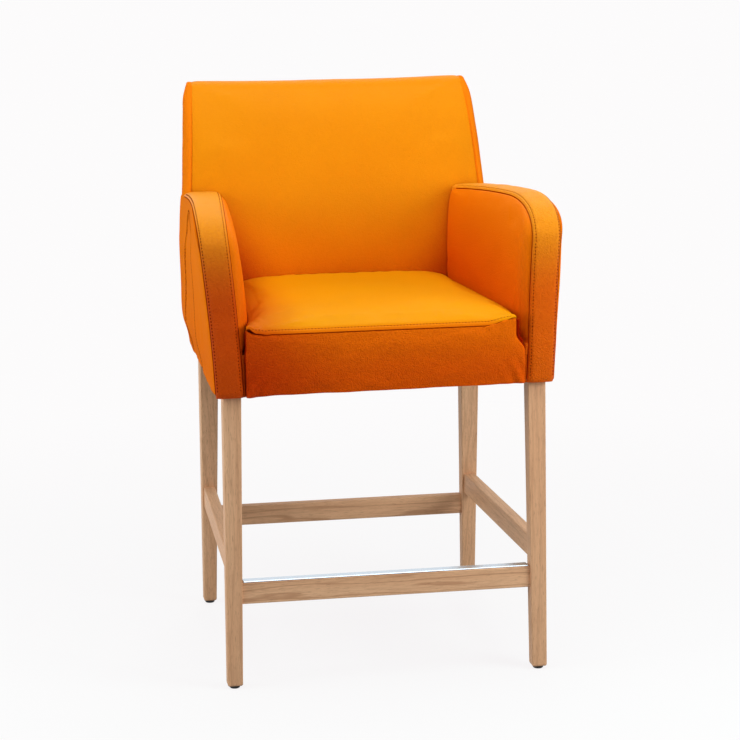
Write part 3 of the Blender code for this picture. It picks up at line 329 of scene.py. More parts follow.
def clamp(value, low=0.0, high=1.0):
    return min(max(value, low), high)


def risen(value, start, run, height=1.0):
    """A smooth rise, which begins at the start and is done a run further on."""
    t = clamp((value - start) / run)
    return height * t * t * (3 - 2 * t)


def rolled(distance, radius, low=0.0):
    """A rounded edge, which is low at first and 1 from the radius inwards."""
    rest = 1 - clamp(distance / radius)
    return lerp(low, 1, math.sqrt(1 - rest * rest))


def tucked(distance, radius, depth):
    """How deep a pad is drawn in, this far from its seam."""
    return depth * (1 - rolled(distance, radius))


def swell(share, power=4.0):
    """The height of a pad of height 1, at this share of its width."""
    return math.sqrt(max(1 - abs(2 * share - 1) ** power, 0))


def hump(distance, width, height=1.0):
    """Full height at a place, and next to nothing two widths away from it."""
    return height * math.exp(-(distance / width) ** 2)


def ripple(run, pitch, height):
    """Creases across a run."""
    return height * math.sin(run / pitch)


def flare(z):
    s = clamp((z - UNDERSIDE) / (ARM_SEAM_TOP - UNDERSIDE))
    return FLARE_EVEN * s + (1 - FLARE_EVEN) * s * s


def outer_x(y, z):
    s = clamp((z - UNDERSIDE) / (ARM_SEAM_TOP - UNDERSIDE))
    front = EDGE_FRONT + FLARE_FRONT * flare(z)
    rear = EDGE_REAR + FLARE_REAR * flare(z) + BELLY * math.sin(math.pi * s)
    return lerp(front, rear, (y - LEG_FRONT_Y - LEG_TOP) / (LEG_PITCH - LEG_TOP))


def inner_x(y, z):
    front = EDGE_FRONT - BAND_WIDTH + FLARE_FRONT * flare(z)
    return front - TAPER_IN * (y - LEG_FRONT_Y) / LEG_PITCH


def arm_points(offset):
    foot = Vector((ARM_SEAM_Y + offset, UNDERSIDE))
    bend = Vector((foot[0] + ARM_LEAN, ARM_SEAM_TOP - CORNER_RISE))
    corner = Vector((bend[0] + ARM_LEAN * CORNER_LEAN, ARM_SEAM_TOP - offset))
    peak = Vector((ARM_SEAM_Y + ARM_LEAN + CORNER_RUN, ARM_SEAM_TOP - offset))
    return foot, bend, corner, peak


def arm_corner(offset, t):
    _, bend, corner, peak = arm_points(offset)
    low, high = bend.lerp(corner, CORNER_HANDLE), peak.lerp(corner, CORNER_HANDLE)
    s = 1 - t
    return bend * s ** 3 + low * 3 * s * s * t + high * 3 * s * t * t + peak * t ** 3


def arm_top(peak, end, t):
    """The arm's top line, which falls away faster towards the back."""
    return Vector((lerp(peak[0], end[0], t), peak[1] - (peak[1] - end[1]) * t ** ARM_FALL_POWER))


def back_face_y(z):
    roll = max(z - (BACK_PAD_TOP - ROLL_HEIGHT), 0) / ROLL_HEIGHT
    face = LEG_REAR_Y - FACE_INSET + BACK_RAKE * (z - SEAT_SEAM - FACE_RISE)
    return face + BACK_ROLL * roll ** ROLL_POWER


def arm_end_y(z):
    return back_face_y(z) - BACK_PAD_CROWN - PANEL_GAP


def rear_skin_y(z):
    return LEG_REAR_Y + POST_RAKE * max(z - RAIL_TOP, 0) + GAP


def side_end_y(z):
    return rear_skin_y(z) - SEAM_GAP


def arm_end(offset, meets_at):
    peak = arm_points(offset)[3]
    level = ARM_SEAM_TOP - ARM_FALL
    slope = ARM_FALL / (arm_end_y(level) - peak[0])
    end = Vector((meets_at(level), level))
    for _ in range(6):
        end[1] = peak[1] - slope * (end[0] - peak[0])
        end[0] = meets_at(end[1])
    return end


def seat_half(y):
    run = arm_end_y(SEAT_SEAM) - SEAT_FRONT_Y
    return inner_x(y, SEAT_SEAM) - lerp(*SEAT_CLEARANCES, (y - SEAT_FRONT_Y) / run)


ARM_JOIN = arm_end(BAND_LIP, side_end_y)[1]


def back_half(z):
    level = min(z, ARM_JOIN)
    y = LEG_REAR_Y + POST_RAKE * (level - RAIL_TOP) - SIDE_INSET
    half = outer_x(y, level) - PAD_EDGE - PANEL_GAP
    return lerp(half, BACK_TOP_HALF, clamp((z - ARM_JOIN) / (BACK_PAD_TOP - ARM_JOIN)))


def wave(x, y, z, size, seed):
    """Slow, smooth unevenness from -1 to 1."""
    return noise.noise(Vector((x / size + seed, y / size, z / size)))


# Meshes

WELD = 0.00002


def put(name, data):
    made = bpy.data.objects.new(name, data)
    bpy.context.scene.collection.objects.link(made)
    return made


def add_piece(name, bm, material, *cad_nodes, fill=None, angle=40.0):
    bmesh.ops.remove_doubles(bm, verts=bm.verts, dist=WELD)
    bmesh.ops.recalc_face_normals(bm, faces=bm.faces)
    mesh = bpy.data.meshes.new(name)
    bm.to_mesh(mesh)
    bm.free()
    mesh.materials.append(material)
    mesh.shade_smooth()
    mesh.set_sharp_from_angle(angle=math.radians(angle))
    made = put(name, mesh)
    made.location = (0, SHIFT, 0)
    bpy.context.view_layer.update()
    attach(made, "root")
    if cad_nodes:
        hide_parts(*cad_nodes)


def spread(length, coarse, edge, fine=SEAM_STEP):
    """Shares of a length with fine steps near both ends and coarse ones between."""
    low = [fine * i for i in range(max(int(edge / fine), 1))]
    middle = max(int((length - 2 * edge) / coarse), 1)
    points = low + [edge + (length - 2 * edge) * i / middle for i in range(middle + 1)]
    points += [length - p for p in reversed(low)]
    return [p / length for p in points]


def surface(us, vs, place):
    return np.array([[tuple(place(u, v)) for u in us] for v in vs])


def normals_of(points, sign):
    across = np.gradient(points, axis=1)
    along = np.gradient(points, axis=0)
    normal = np.cross(across, along) * sign
    return normal / np.maximum(np.linalg.norm(normal, axis=2, keepdims=True), 1e-9)


CLOTH_FRAMES = 18
CLOTH = {"quality": 6, "mass": 0.4, "tension_stiffness": 12.0, "compression_stiffness": 12.0,
         "shear_stiffness": 6.0, "bending_stiffness": 0.6, "vertex_group_mass": "pins", "use_pressure": True}


def puffed(points, sign, pressure, slack, cap, step=3):
    """Blows a panel up as cloth held along its seams. cap is as far as a point may move."""
    rows, columns = ([*range(0, count - 1, step), count - 1] for count in points.shape[:2])
    coarse = points[np.ix_(rows, columns)]
    height, width = coarse.shape[:2]
    faces = []
    for a in (j * width + i for j in range(height - 1) for i in range(width - 1)):
        b, c, d = a + 1, a + width + 1, a + width
        faces.append((a, b, c, d) if sign > 0 else (a, d, c, b))
    mesh = bpy.data.meshes.new("cloth")
    mesh.from_pydata(coarse.reshape(-1, 3).tolist(), [], faces)
    sheet = put("cloth", mesh)
    pins = sheet.vertex_groups.new(name="pins")
    edge = [j * width + i for j in range(height) for i in range(width)
            if j in (0, height - 1) or i in (0, width - 1)]
    pins.add(edge, 1.0, "REPLACE")
    cloth = sheet.modifiers.new("cloth", "CLOTH")
    assign(cloth.settings, **CLOTH, uniform_pressure_force=pressure, shrink_min=-slack)
    cloth.settings.effector_weights.gravity = 0.0
    cloth.point_cache.frame_start = 1
    cloth.point_cache.frame_end = CLOTH_FRAMES
    scene = bpy.context.scene
    for number in range(1, CLOTH_FRAMES + 1):
        scene.frame_set(number)
    shape = sheet.evaluated_get(bpy.context.evaluated_depsgraph_get()).data
    moved = np.array([v.co[:] for v in shape.vertices]).reshape(coarse.shape) - coarse
    scene.frame_set(1)
    bpy.data.objects.remove(sheet, do_unlink=True)
    size = np.linalg.norm(moved, axis=2, keepdims=True)
    moved *= np.minimum(1.0, cap / np.maximum(size, 1e-9))
    for axis, places in ((1, columns), (0, rows)):
        full = np.arange(points.shape[axis])
        moved = np.apply_along_axis(lambda line: np.interp(full, places, line), axis, moved)
    return points + moved


def add_grid(bm, points):
    grid = [[bm.verts.new(p) for p in line] for line in points]
    for low, high in zip(grid, grid[1:]):
        for i in range(len(low) - 1):
            bm.faces.new((low[i], low[i + 1], high[i + 1], high[i]))
    return grid


def close_panel(name, hide, face, rear, *cad_nodes, fill):
    """A closed pad from its visible grid and a plain back, which follows the same grid further in."""
    bm = bmesh.new()
    rows, columns = face.shape[0] - 1, face.shape[1] - 1
    front = add_grid(bm, face)
    behind = [[bm.verts.new(p) for p in (line if j in (0, rows) else (line[0], line[-1]))]
              for j, line in enumerate(rear)]
    for j in range(rows):
        low, high = behind[j], behind[j + 1]
        bm.faces.new((front[j][0], front[j + 1][0], high[0], low[0]))
        bm.faces.new((front[j][-1], low[-1], high[-1], front[j + 1][-1]))
        bmesh.ops.triangulate(bm, faces=[bm.faces.new(low + list(reversed(high)))])
    for j in (0, rows):
        for i in range(columns):
            bm.faces.new((front[j][i], front[j][i + 1], behind[j][i + 1], behind[j][i]))
    add_piece(name, bm, HIDES[hide], *cad_nodes, fill=fill)


EVEN = (1, 1, 1)
DENT_FADE = 8


def worn(points, us, vs, sign, *dents, open_low=False):
    """Gives a pad slow dents and swells, each with its size, depth, seed and stretch.

    They fade out at its seams, but not at an open lower edge.
    """
    fade = np.array([[min(1, DENT_FADE * min(u, 1 - u, 1 - v, 1 if open_low else v)) for u in us]
                     for v in vs])
    height = sum(depth * np.array([[wave(*(p * stretch), size, seed) for p in line] for line in points])
                 for size, depth, seed, stretch in dents)
    return points + normals_of(points, sign) * (height * fade)[:, :, None]


STITCHES, SEAM_SHADOWS = [], []


def lengths_along(points):
    run = [0.0]
    for a, b in zip(points, points[1:]):
        run.append(run[-1] + (b - a).length)
    return run


def stitch_along(points, normals):
    """Sets stitch holes at even distances along a line on a surface."""
    points, normals = [Vector(p) for p in points], [Vector(n) for n in normals]
    lengths = lengths_along(points)
    row = []
    for place in np.arange(STITCH_PITCH / 2, lengths[-1], STITCH_PITCH):
        k = int(np.searchsorted(lengths, place)) - 1
        t = (place - lengths[k]) / (lengths[k + 1] - lengths[k])
        row.append((points[k].lerp(points[k + 1], t), (points[k + 1] - points[k]).normalized(),
                    normals[k].lerp(normals[k + 1], t).normalized()))
    STITCHES.append(row)


BEAD_SIDES = 6
BEAD_ROUNDS = ((-0.98, 0.2), (-0.6, 0.8), (0, 1), (0.6, 0.8), (0.98, 0.2))
HOLE_SIZES = (0.0015, 0.00175, 0.0005)
HOLE_SINK = 0.00005
THREAD_SHARE = 0.28
THREAD_SIZES = (0.0005, 0.0004)
THREAD_RAISE = 0.0001
SEAM_UP = (0.3, 0.5, 0.81)
SMOOTH_ANGLE = 80.0


def join_rings(bm, rows):
    for low, high in zip(rows, rows[1:]):
        for i in range(len(low)):
            j = (i + 1) % len(low)
            bm.faces.new((low[i], low[j], high[j], high[i]))


def loft_rings(bm, rings):
    rows = [[bm.verts.new(p) for p in ring] for ring in rings]
    join_rings(bm, rows)
    bm.faces.new(rows[0])
    bm.faces.new(list(reversed(rows[-1])))


def ring_round(centre, across, up):
    """Points round a centre, with the two half axes of their ellipse as vectors."""
    angles = (math.tau * i / BEAD_SIDES for i in range(BEAD_SIDES))
    return [centre + across * math.cos(a) + up * math.sin(a) for a in angles]


def add_bead(bm, centre, along, normal, sizes):
    across = along.cross(normal) * sizes[1]
    loft_rings(bm, [ring_round(centre + along * share * sizes[0], across * size, normal * sizes[2] * size)
                    for share, size in BEAD_ROUNDS])


def sew():
    """Needle holes along each seam, dark with painted shade, and the thread that lies between them."""
    holes, threads = bmesh.new(), bmesh.new()
    for row in STITCHES:
        for point, along, normal in row:
            add_bead(holes, point - normal * HOLE_SINK, along, normal, HOLE_SIZES)
        for (a, _, normal), (b, _, _) in zip(row, row[1:]):
            add_bead(threads, (a + b) / 2 + normal * THREAD_RAISE, (b - a).normalized(), normal,
                     ((b - a).length * THREAD_SHARE, *THREAD_SIZES))
    add_piece("stitch_holes", holes, STITCH_HOLE_SHADE, angle=SMOOTH_ANGLE)
    add_piece("stitch_threads", threads, THREAD, angle=SMOOTH_ANGLE)


def paint_seam_shadow(points, radius=0.0009, moved=(0, 0, 0)):
    """Keeps a line for a dark tube of painted shadow at the bottom of a seam, moved a little from the seam
    if need be.
    """
    SEAM_SHADOWS.append(([Vector(p) + Vector(moved) for p in points], radius))


def add_seam_shadows():
    """Dark tubes of painted shadow at the bottom of each seam and in the gaps between pads."""
    bm = bmesh.new()
    for points, radius in SEAM_SHADOWS:
        rings = []
        for k, point in enumerate(points):
            along = (points[min(k + 1, len(points) - 1)] - points[max(k - 1, 0)]).normalized()
            side = along.cross(Vector(SEAM_UP)).normalized()
            rings.append(ring_round(point, side * radius, side.cross(along) * radius))
        loft_rings(bm, rings)
    add_piece("painted_seam_shadows", bm, PAINTED_SEAM_SHADOW, angle=SMOOTH_ANGLE)


# Arms
# A roll is a radius and a low share, a tuck a radius and a depth, a dip or hump a width and a height,
# a puff a pressure, a slack and a cap, and dents are a size, a depth, a seed and a stretch.


FRONT_STEPS, CORNER_STEPS, TOP_STEPS = 46, 50, 84
EASING_ROUNDS = 10


def arm_path(end, hang):
    """The arm's outline from its foot to the back, its knee and bend eased as padding eases them."""
    foot, bend, _, peak = arm_points(0)
    path = []
    for i in range(FRONT_STEPS):
        z = lerp(UNDERSIDE - hang, bend[1], i / FRONT_STEPS)
        path.append(Vector((foot[0] + ARM_LEAN * max(z - PAD_BOTTOM, 0) / (bend[1] - PAD_BOTTOM), z)))
    path += [arm_corner(0, i / CORNER_STEPS) for i in range(CORNER_STEPS)]
    path += [arm_top(peak, end, i / TOP_STEPS) for i in range(TOP_STEPS + 1)]
    for _ in range(EASING_ROUNDS):
        path = [path[0]] + [(a + b * 2 + c) / 4 for a, b, c in zip(path, path[1:], path[2:])] + [path[-1]]
    return path


def outwards(path, i):
    along = path[min(i + 1, len(path) - 1)] - path[max(i - 1, 0)]
    return Vector((-along[1], along[0])).normalized()


BAND_HANG = {-1: 0.0055, 1: 0.0015}
BAND_SHARES = (0.0, 0.012, 0.03, 0.055, 0.08, 0.105, 0.13, 0.16, 0.21, 0.28, 0.38, 0.5)
BAND_ROUNDING = 4.6
BAND_FOOT_TUCK = (0.008, 0.003)
BAND_UNDER, UNDER_INSET = 0.0036, 0.009
BAND_DENTS = ((0.05, 0.0007, 3.1), (0.018, 0.0006, 9.0))
INNER_DIP, OUTER_DIP = (0.0012, 0.0009), (0.0011, 0.0006)
ARM_TOP_REACH = 0.06
LEAST_DROP, SHADOW_LINE_LIFT = 0.0002, 0.0001
END_STEPS = 6


def arm_band(side, hand):
    end = arm_end(0, arm_end_y)
    path = arm_path(end, BAND_HANG[side])
    shares = [*BAND_SHARES, *(1 - s for s in reversed(BAND_SHARES[:-1]))]
    rings, seams = [], (([], [], []), ([], [], []))
    for i, (y, z) in enumerate(path):
        normal = outwards(path, i)
        inner, outer = inner_x(y, z), outer_x(y, z)
        width = outer - inner
        into = max(y - (end[0] - CORNER_DROP), 0) if z > ARM_SEAM_TOP - ARM_TOP_REACH else 0
        drop = max(CORNER_DROP - math.sqrt(max(CORNER_DROP ** 2 - into ** 2, 0)), LEAST_DROP)
        foot = tucked(z - path[0][1], *BAND_FOOT_TUCK)
        rough = sum(depth * wave(side, y, z, size, seed) for size, depth, seed in BAND_DENTS)

        def rise_at(share):
            dips = hump(share * width - INNER_STITCH, *INNER_DIP)
            dips += hump((1 - share) * width - OUTER_STITCH, *OUTER_DIP)
            return BAND_RISE * swell(share, BAND_ROUNDING) + rough * swell(share) - dips - foot

        def spot(x, lift):
            return Vector((side * x, y + normal[0] * lift, z + normal[1] * lift))
        ring = [spot(inner_x(y - normal[0] * drop, z - normal[1] * drop), -drop)]
        ring += [spot(lerp(inner, outer, share), rise_at(share)) for share in shares]
        ring += [spot(outer - UNDER_INSET, -BAND_UNDER), spot(inner + UNDER_INSET, -BAND_UNDER - drop / 2)]
        rings.append(ring)
        places = ((INNER_STITCH / width, inner, -drop), (1 - OUTER_STITCH / width, outer, SHADOW_LINE_LIFT))
        for (line, facing, shadow_line), (share, edge, lift) in zip(seams, places):
            line.append(spot(lerp(inner, outer, share), rise_at(share)))
            slope = (rise_at(share + 0.01) - rise_at(share - 0.01)) / (0.02 * width)
            facing.append(Vector((-slope * side, normal[0], normal[1])).normalized())
            shadow_line.append(spot(edge, lift))
    rings[-1] = [(x, arm_end_y(z), z) for x, _, z in rings[-1]]
    bm = bmesh.new()
    loft_rings(bm, rings)
    add_piece("arm_band_leather_" + hand, bm, HIDES["band"], "arm_band_" + hand, fill=0.8)
    last = len(path) - END_STEPS
    for line, facing, shadow_line in seams:
        stitch_along(line[2:last], facing[2:last])
        paint_seam_shadow(shadow_line[1:last:2])


STRAIGHT_SHARE, OVER_SHARE, CORNER_CUT = 0.66, 0.26, 0.29


def side_place(bottom, rear_y_at, offset, corner=0.0):
    """Where a side pad lies in the arm's outline, over the unit square."""
    end = arm_end(offset, rear_y_at)
    foot, bend, _, peak = arm_points(offset)

    def rounded(point, left):
        """Draws a point in where it is closer to the upper rear corner than the corner's size."""
        into = clamp(1 - left / corner) if corner else 0
        return point - Vector((1, 1)) * (corner * CORNER_CUT * into ** 2)

    def front_edge(v):
        if v >= STRAIGHT_SHARE:
            return arm_corner(offset, (v - STRAIGHT_SHARE) / (1 - STRAIGHT_SHARE) / 2)
        z = lerp(bottom, bend[1], v / STRAIGHT_SHARE)
        lean = max((z - PAD_BOTTOM) / (bend[1] - PAD_BOTTOM), 0)
        return Vector((lerp(foot[0], bend[0], lean), z))

    def top_edge(u):
        if u < OVER_SHARE:
            return arm_corner(offset, (1 + u / OVER_SHARE) / 2)
        point = arm_top(peak, end, (u - OVER_SHARE) / (1 - OVER_SHARE))
        return rounded(point, end[0] - point[0])

    def bottom_edge(u):
        return Vector((lerp(foot[0], rear_y_at(bottom), u), bottom))

    def rear_edge(v):
        z = lerp(bottom, end[1], v)
        return rounded(Vector((rear_y_at(z), z)), end[1] - z)

    def place(u, v):
        up = lerp(bottom_edge(u), top_edge(u), v)
        across = lerp(front_edge(v), rear_edge(v), u)
        corners = lerp(lerp(bottom_edge(0), bottom_edge(1), u), lerp(top_edge(0), top_edge(1), u), v)
        return up + across - corners
    return place


INNER_TUCK = (0.004, 0.0016)
LOW_ROLL, LOW_DROP = (0.055, 0.45), 0.03
FRONT_ROLLS, ROLLS_CHANGE = (0.075, 0.03), (0.635, 0.06)
TOP_ROLL, REAR_ROLL = 0.15, (0.12, 0.43)
SEAT_CLEARANCE, INNER_BACKING = 0.0004, 0.004
INNER_PUFF = (0.8, 0.002, 0.001)
INNER_DENTS = (0.07, 0.0009, 1.7, EVEN)


def inner_pad(side, hand):
    """The pad swells behind the band's seam and tucks in below the seat and at the back."""
    place = side_place(PAD_BOTTOM, arm_end_y, SEAM_GAP, CORNER_DROP)
    back_place = side_place(PAD_BOTTOM, arm_end_y, BAND_LIP + PANEL_GAP)
    length, height = arm_end_y(PAD_BOTTOM) - ARM_SEAM_Y, ARM_SEAM_TOP - PAD_BOTTOM
    us, vs = spread(length, 0.005, 0.016), spread(height, 0.005, 0.016)

    def face(u, v):
        y, z = place(u, v)
        front, rear, top = u * length, (1 - u) * length, (1 - v) * height
        depth = rolled(front, lerp(*FRONT_ROLLS, risen(z, *ROLLS_CHANGE))) * rolled(rear, *REAR_ROLL)
        depth *= rolled(top, TOP_ROLL) * rolled(z - SEAT_SEAM + LOW_DROP, *LOW_ROLL)
        swelling = INNER_CROWN * depth - tucked(min(front, rear, top), *INNER_TUCK)
        return side * max(inner_x(y, z) - swelling, seat_half(y) + SEAT_CLEARANCE), y, z

    def rear(u, v):
        y, z = back_place(u, v)
        return side * (inner_x(y, z) + INNER_BACKING), y, z
    points = puffed(surface(us, vs, face), -side, *INNER_PUFF)
    points = worn(points, us, vs, -side, INNER_DENTS)
    # Painted shadow: a dark tube along the pad's rear edge, where it meets the back.
    paint_seam_shadow(points[10:-8, -1], 0.0013, (-side * 0.0012, -0.001, 0))
    close_panel("arm_inner_leather_" + hand, "inner", points, surface(us, vs, rear),
                "arm_inner_pad_" + hand, fill=0.8)


ARCH = ((-0.06, 0.536), (-0.05, 0.58), (-0.042, 0.63), (-0.034, 0.69), (-0.022, 0.745), (-0.004, 0.787),
        (0.028, 0.812), (0.07, 0.812), (0.106, 0.788), (0.127, 0.745), (0.138, 0.69), (0.144, 0.62),
        (0.147, 0.536))


def smooth_line(points, step):
    """A smooth curve through points, with its own points at about even steps."""
    line = []
    points = [Vector(p) for p in points]
    for k in range(len(points) - 1):
        a, b = points[max(k - 1, 0)], points[k]
        c, d = points[k + 1], points[min(k + 2, len(points) - 1)]
        count = max(int((c - b).length / step), 1)
        for i in range(count):
            t = i / count
            line.append((b * 2 + (c - a) * t + (a * 2 - b * 5 + c * 4 - d) * t ** 2
                         + (b * 3 - a - c * 3 + d) * t ** 3) / 2)
    return line + [points[-1]]


ARCH_STITCH = 0.0042
ARCH_LINE = smooth_line(ARCH, 0.002)
ARCH_ARRAY = np.array([p[:] for p in ARCH_LINE])


def arch_distance(y, z):
    """Signed distance to the arch seam on the outer side, positive inside the arch."""
    gaps = (ARCH_ARRAY[:, 0] - y) ** 2 + (ARCH_ARRAY[:, 1] - z) ** 2
    k = int(gaps.argmin())
    a, b = ARCH_ARRAY[max(k - 1, 0)], ARCH_ARRAY[min(k + 1, len(ARCH_ARRAY) - 1)]
    cross = (b[0] - a[0]) * (z - a[1]) - (b[1] - a[1]) * (y - a[0])
    return math.copysign(math.sqrt(gaps[k]), -cross)


CROWN_HEIGHT, CROWN_WIDTH = 0.715, 0.085
CROWN_SHARE = {-1: 0.5, 1: 1.0}
LIFT_ROLLS = ((0.045,), (0.055,), (0.04, 0.45))
SAG, SAG_HEIGHT, SAG_ABOVE, SAG_BELOW = 0.008, 0.598, 0.055, 0.03
HOLLOW = (0.73, 0.06, 0.0045)
BEHIND_RUN, BEHIND_ROLL = 0.36, 0.05
ARCH_STEP, ARCH_STEP_WIDTH, ARCH_DIP = 0.0014, 0.005, (0.0013, 0.0013)
OUTER_TUCK, FOOT_TUCK = (0.004, 0.0014), (0.006, 0.0025)
LEAN_HEIGHT, OUTER_BACKING = 0.18, 0.006
TOP_FROM_Y, TOP_LENGTH = -0.107, 0.42
OUTER_FOLDS = ((0.06, 0.0012, 4.2, (1, 2.4, 0.5)), (0.02, 0.0005, 6.9, (1, 1.6, 0.35)))


def outer_lift(y, z, side):
    """How far the outer pad stands proud: most at half height, less at the rear and inside its arch."""
    front = y - (ARM_SEAM_Y + ARM_LEAN * clamp((z - PAD_BOTTOM) / LEAN_HEIGHT))
    rear = side_end_y(z) - y
    along = clamp((y - TOP_FROM_Y) / TOP_LENGTH)
    top = arm_top(arm_points(0)[3], arm_end(0, side_end_y), along)[1] - z
    crown = lerp(EDGE_CROWN, OUTER_CROWN * CROWN_SHARE[side], hump(z - CROWN_HEIGHT, CROWN_WIDTH))
    lift = crown * math.prod(rolled(gap, *roll) for gap, roll in zip((front, top, rear), LIFT_ROLLS))
    sag = hump(z - SAG_HEIGHT, SAG_ABOVE if z > SAG_HEIGHT else SAG_BELOW, SAG)
    lift += risen(y, ARM_SEAM_Y, BEHIND_RUN) * rolled(rear, BEHIND_ROLL) * (sag - risen(z, *HOLLOW))
    gap = arch_distance(y, z)
    lift += ARCH_STEP * clamp(0.5 - gap / ARCH_STEP_WIDTH) - hump(gap, *ARCH_DIP)
    return lift - tucked(min(front, top), *OUTER_TUCK)


def outer_pad(side, hand):
    place = side_place(UNDERSIDE, side_end_y, SEAM_GAP)
    back_place = side_place(UNDERSIDE, side_end_y, BAND_LIP + PANEL_GAP)
    length, height = LEG_REAR_Y - ARM_SEAM_Y, ARM_SEAM_TOP - UNDERSIDE
    us, vs = spread(length, 0.0028, 0.016), spread(height, 0.0032, 0.012)

    def face(u, v):
        y, z = place(u, v)
        return side * (outer_x(y, z) + outer_lift(y, z, side) - tucked(v * height, *FOOT_TUCK)), y, z

    def rear(u, v):
        y, z = back_place(u, v)
        return side * (outer_x(y, z) - OUTER_BACKING), y, z
    points = worn(surface(us, vs, face), us, vs, side, *OUTER_FOLDS, open_low=True)
    close_panel("arm_outer_leather_" + hand, "outer", points, surface(us, vs, rear),
                "arm_outer_pad_" + hand, fill=0.7)
    line, shadow_line = [], []
    for a, (y, z), b in zip(ARCH_LINE, ARCH_LINE[1:], ARCH_LINE[2:]):
        along = (b - a).normalized() * ARCH_STITCH
        line.append(surface_point(points, y - along[1], z + along[0], side))
        shadow_line.append(surface_point(points, y, z, side))
    stitch_along(line, [(side, 0, 0)] * len(line))
    paint_seam_shadow(shadow_line[::3], 0.0007, (-side * 0.0002, 0, 0))


def surface_point(points, y, z, side):
    """The point of a side pad's grid at y and z, weighed from the four grid points nearest to it."""
    gaps = (points[:, :, 1] - y) ** 2 + (points[:, :, 2] - z) ** 2
    nearest = np.argpartition(gaps.ravel(), 4)[:4]
    weights = 1 / (gaps.ravel()[nearest] + 1e-9)
    x = float((points[:, :, 0].ravel()[nearest] * weights).sum() / weights.sum())
    return Vector((x + side * 0.0001, y, z))


HEM_WIDTH, HEM_THICKNESS = 0.004, 0.0064
HEM_HANG = {-1: 0.005, 1: 0.001}
HEM_RISE, HEM_ROWS = 0.006, 40
HEM_SHAPE = ((0.0, 0.0004), (0.2, -0.0012), (0.5, -0.0016), (0.8, -0.0008), (0.95, 0.0008), (1.0, 0.0028),
             (1.0, HEM_THICKNESS))


def hem(side, hand):
    """The narrow turned edge of the inner cover, between the band and the apron."""
    inner = inner_x(ARM_SEAM_Y, UNDERSIDE) - HEM_WIDTH
    rings = []
    for i in range(HEM_ROWS):
        z = lerp(UNDERSIDE - HEM_HANG[side], PAD_BOTTOM + HEM_RISE, i / (HEM_ROWS - 1))
        outer = inner_x(ARM_SEAM_Y, z) - GAP
        front = ARM_SEAM_Y + 0.0005 * wave(0, 0, z, 0.02, 5)
        ring = [(side * lerp(outer, inner, a), front + b, z) for a, b in HEM_SHAPE]
        rings.append(ring + [(side * outer, ARM_SEAM_Y + HEM_THICKNESS, z)])
    bm = bmesh.new()
    loft_rings(bm, rings)
    add_piece("arm_hem_leather_" + hand, bm, HIDES["band"], "arm_hem_" + hand, fill=0.9)


SIDES = ((-1, "left"), (1, "right"))
for side, hand in SIDES:
    for make in (arm_band, inner_pad, outer_pad, hem):
        make(side, hand)


# Back


FACE_STEPS, ROLL_STEP = 70, 0.0026
ROLL_FACE = (0.985, 0.997, 1.01)
ROLL_OVER = ((back_face_y(1.0215) + 0.0008, 1.0215), (0.3535, 1.0305), (0.364, 1.0348), (0.3755, 1.0358),
             (0.3845, 1.0342), (0.3898, 1.03))
EDGE_HEIGHTS, EDGE_SWELLS = (0.83, 0.92, 0.97, 0.99), (0.006, 0.0095, 0.009, 0.008)
BACK_PEAK, PEAK_RADIUS = 1.035, 0.034
TOP_SAG = (0.965, 0.06, 0.0045)


def back_path():
    """Side outline of the back cushion: up the raked face, over the rolled top, to its rear seam."""
    face = [lerp(PAD_BOTTOM, ROLL_FACE[0], i / FACE_STEPS) for i in range(FACE_STEPS)]
    keys = [(back_face_y(z), z) for z in ROLL_FACE] + list(ROLL_OVER)
    return [Vector((back_face_y(z), z)) for z in face] + smooth_line(keys, ROLL_STEP)


def edge_swell(z):
    """How much wider the back is at its rear side seams than at its front ones."""
    return float(np.interp(z, EDGE_HEIGHTS, EDGE_SWELLS)) * rolled(BACK_PEAK - z, PEAK_RADIUS)


def top_sag(u, z):
    """How far the top of the back hangs down between its two ends."""
    return math.sin(math.pi * u) * risen(z, *TOP_SAG)


EDGE_TUCKS = ((0.02, 0.0032), (0.003, 0.0009))
BACK_TOP_TUCK = (0.006, 0.0012)
BACK_BACKING, BACKING_INSET = 0.009, 0.004
BACK_PUFF = (0.7, 0.001, 0.0016)
BACK_DENTS = (0.11, 0.0012, 7.7, EVEN)


def back_front(path):
    width = 2 * BACK_TOP_HALF
    run = lengths_along(path)
    us, vs = spread(width, 0.0056, 0.02), [r / run[-1] for r in run]

    def spot(u, j, depth, inset):
        y, z = path[j]
        normal = outwards(path, j)
        half = back_half(z) - inset
        return lerp(-half, half, u), y + normal[0] * depth, z + normal[1] * depth - top_sag(u, z)

    def face(u, j):
        crown = BACK_PAD_CROWN * swell(u) * swell(vs[j]) - tucked(run[-1] - run[j], *BACK_TOP_TUCK)
        return spot(u, j, crown - sum(tucked(min(u, 1 - u) * width, *tuck) for tuck in EDGE_TUCKS), 0)

    def rear(u, j):
        return spot(u, j, -BACK_BACKING, BACKING_INSET)
    rows = range(len(path))
    points = puffed(surface(us, rows, face), 1, *BACK_PUFF)
    points = worn(points, us, vs, 1, BACK_DENTS)
    close_panel("back_front_leather", "back", points, surface(us, rows, rear), "back_pad", fill=0.8)
    start = next(j for j in rows if path[j][1] > ARM_JOIN + 0.004)
    for i, side in ((0, -1), (-1, 1)):
        paint_seam_shadow(points[start:, i], 0.0007, (side * 0.0003, 0, 0))


BOXING_SHARES = (0, 0.012, 0.03, 0.06, 0.1, 0.16, 0.23, 0.31, 0.4, 0.5, 0.6, 0.7, 0.8, 0.88, 0.94, 0.98, 1)
BOXING_TOP, TOP_FROM = 1.0287, 0.36
BOXING_BACKING, BACKING_SHARE = 0.0035, 0.06
BULGE_SHARE, BULGE_RUN, BULGE_POWER = 0.36, 0.055, 0.6
BOXING_DENTS, BOXING_DENT_SIZE, BOXING_DENT_RUN = 0.0006, 0.035, 0.08


